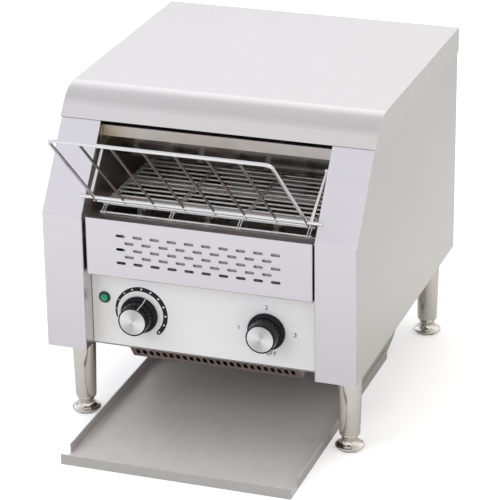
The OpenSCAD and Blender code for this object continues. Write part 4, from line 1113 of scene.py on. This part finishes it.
class TOASTER_OT_screws(bpy.types.Operator):
    """Makes the cross-recessed screws and the cable gland"""
    bl_idname = "toaster.screws"
    bl_label = "Screws and gland"

    HEAD = 1.62 * MM                             # height of a screw's head

    def execute(self, context):
        for node, out in (("rear_screws", INWARD), ("bottom_screws", -UP)):
            bm = bmesh.new()
            for place in self.heads(node, out):
                self.screw(bm, place, out)
            made = piece_of(node + "_cross", bm, SLOT_OF[node], "housing")
            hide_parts(node)
        self.gland()
        return {"FINISHED"}

    def heads(self, node, out):
        """The middle of each head's seat, from the node's separate solids."""
        bm = bmesh.new()
        bm.from_mesh(frame["nodes"][node].data)
        bmesh.ops.remove_doubles(bm, verts=bm.verts, dist=MERGE)
        left, places = set(bm.verts), []
        while left:
            group, open_ends = set(), [next(iter(left))]
            while open_ends:
                vert = open_ends.pop()
                if vert in group:
                    continue
                group.add(vert)
                open_ends += [edge.other_vert(vert) for edge in vert.link_edges]
            left -= group
            spots = [v.co for v in group]
            top = max(p.dot(out) for p in spots)
            mid = Vector([(min(p[i] for p in spots) + max(p[i] for p in spots)) / 2 for i in range(3)])
            places.append(mid + out * (top - self.HEAD - mid.dot(out)))
        bm.free()
        return sorted(places, key=lambda p: tuple(round(c, 5) for c in p))

    def screw(self, bm, seat, out):
        """A screw with a domed head and a cross recess."""
        sides, radius, head = 32, 1.8 * MM, 3.42 * MM
        first, second = square_to(out)
        outline = rounded([*beside(0, 0, (0, -8)), *beside(radius * 0.4, 0, (0, -8)),
                           *beside(radius, 0, (0, -6.8), (0, 0)), (head, 0),
                           *beside(head, self.HEAD * 0.5, (-0.05, 0)), (head * 0.80, self.HEAD)],
                          0.25 * MM, 2)
        lathe(bm, outline, seat, out, sides)
        rim = list(bm.verts)[-sides:]
        arm, wide, deep = 1.75 * MM, 0.42 * MM, 0.9 * MM
        corners = [(wide, wide), (wide, arm), (-wide, arm), (-wide, wide), (-arm, wide), (-arm, -wide),
                   (-wide, -wide), (-wide, -arm), (wide, -arm), (wide, -wide), (arm, -wide), (arm, wide)]

        def ring(depth, share_of):
            return [bm.verts.new(seat + out * (self.HEAD - depth) + (first * a + second * b) * share_of)
                    for a, b in corners]

        top, low = ring(0, 1.0), ring(deep, 0.72)
        count = len(corners)
        edges = [bm.edges.new((top[k], top[(k + 1) % count])) for k in range(count)]
        edges += [bm.edges.get((rim[k], rim[(k + 1) % sides])) for k in range(sides)]
        bmesh.ops.triangle_fill(bm, use_beauty=True, edges=edges, normal=out)
        for k in range(count):
            bm.faces.new((top[k], top[(k + 1) % count], low[(k + 1) % count], low[k]))
        bm.faces.new(low)

    @staticmethod
    def gland():
        """The cable gland: a ribbed cap on a six-sided base, open right through."""
        low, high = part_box("cable_gland")
        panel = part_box("rear_panel")[1].y
        centre = Vector(((low.x + high.x) / 2, panel, (low.z + high.z) / 2))
        start, end, bore, ribs = low.y - panel, high.y - panel, 4.5 * MM, 18

        def ribbed(turn, radius, distance):
            if 5.4 * MM < distance < end - 2.6 * MM and radius > 8 * MM:
                return radius - 0.35 * MM * (0.5 + 0.5 * math.cos(ribs * turn))
            return radius

        cap = [(bore, start), (9 * MM, start),
               *beside(0, 0, (9, 0.01), (9.3, 0.01), (9.3, 5), (10, 5.2), (10, 7)),
               *beside(0, end, (9.9, -3), (8.2, -0.8), (7.2, 0)), (bore, end)]
        bm = bmesh.new()
        lathe(bm, rounded(cap, 0.3 * MM), centre, INWARD, 144, ribbed, closed=True)
        lathe(bm, beside(0, 0, (9.1, 0), (11.7, 0), (12, 0.3), (12, 4.6), (11.5, 5), (9.1, 5)),
              centre, INWARD, 6, closed=True)
        made = piece_of("ribbed_gland", bm, SLOT_OF["cable_gland"], "housing")
        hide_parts("cable_gland")


STEPS = (TOASTER_OT_stage, TOASTER_OT_finishes, TOASTER_OT_panels, TOASTER_OT_knobs, TOASTER_OT_print,
         TOASTER_OT_lamp, TOASTER_OT_belt, TOASTER_OT_rack, TOASTER_OT_legs, TOASTER_OT_screws)
GROUPS = {"toaster_sheets": SheetColours, "toaster_parts": PartColours, "toaster_sizes": Sizes,
          "toaster_stage": StageValues}


class TOASTER_PT_steps(bpy.types.Panel):
    """Lists the steps that dress the toaster"""
    bl_idname = "TOASTER_PT_steps"
    bl_label = "Conveyor toaster"
    bl_space_type = "VIEW_3D"
    bl_region_type = "UI"
    bl_category = "Toaster"

    def draw(self, context):
        for name in GROUPS:
            values = getattr(context.scene, name)
            box = self.layout.box()
            for key in type(values).__annotations__:
                box.prop(values, key)
        for step in STEPS:
            self.layout.operator(step.bl_idname)


def register():
    for cls in (*GROUPS.values(), *STEPS, TOASTER_PT_steps):
        bpy.utils.register_class(cls)
    for name, cls in GROUPS.items():
        setattr(bpy.types.Scene, name, bpy.props.PointerProperty(type=cls))


def unregister():
    for name in GROUPS:
        delattr(bpy.types.Scene, name)
    for cls in (TOASTER_PT_steps, *reversed(STEPS), *reversed(tuple(GROUPS.values()))):
        bpy.utils.unregister_class(cls)


def main():
    register()
    for step in STEPS:
        family, name = step.bl_idname.split(".")
        getattr(getattr(bpy.ops, family), name)()


if __name__ == "__main__":
    main()
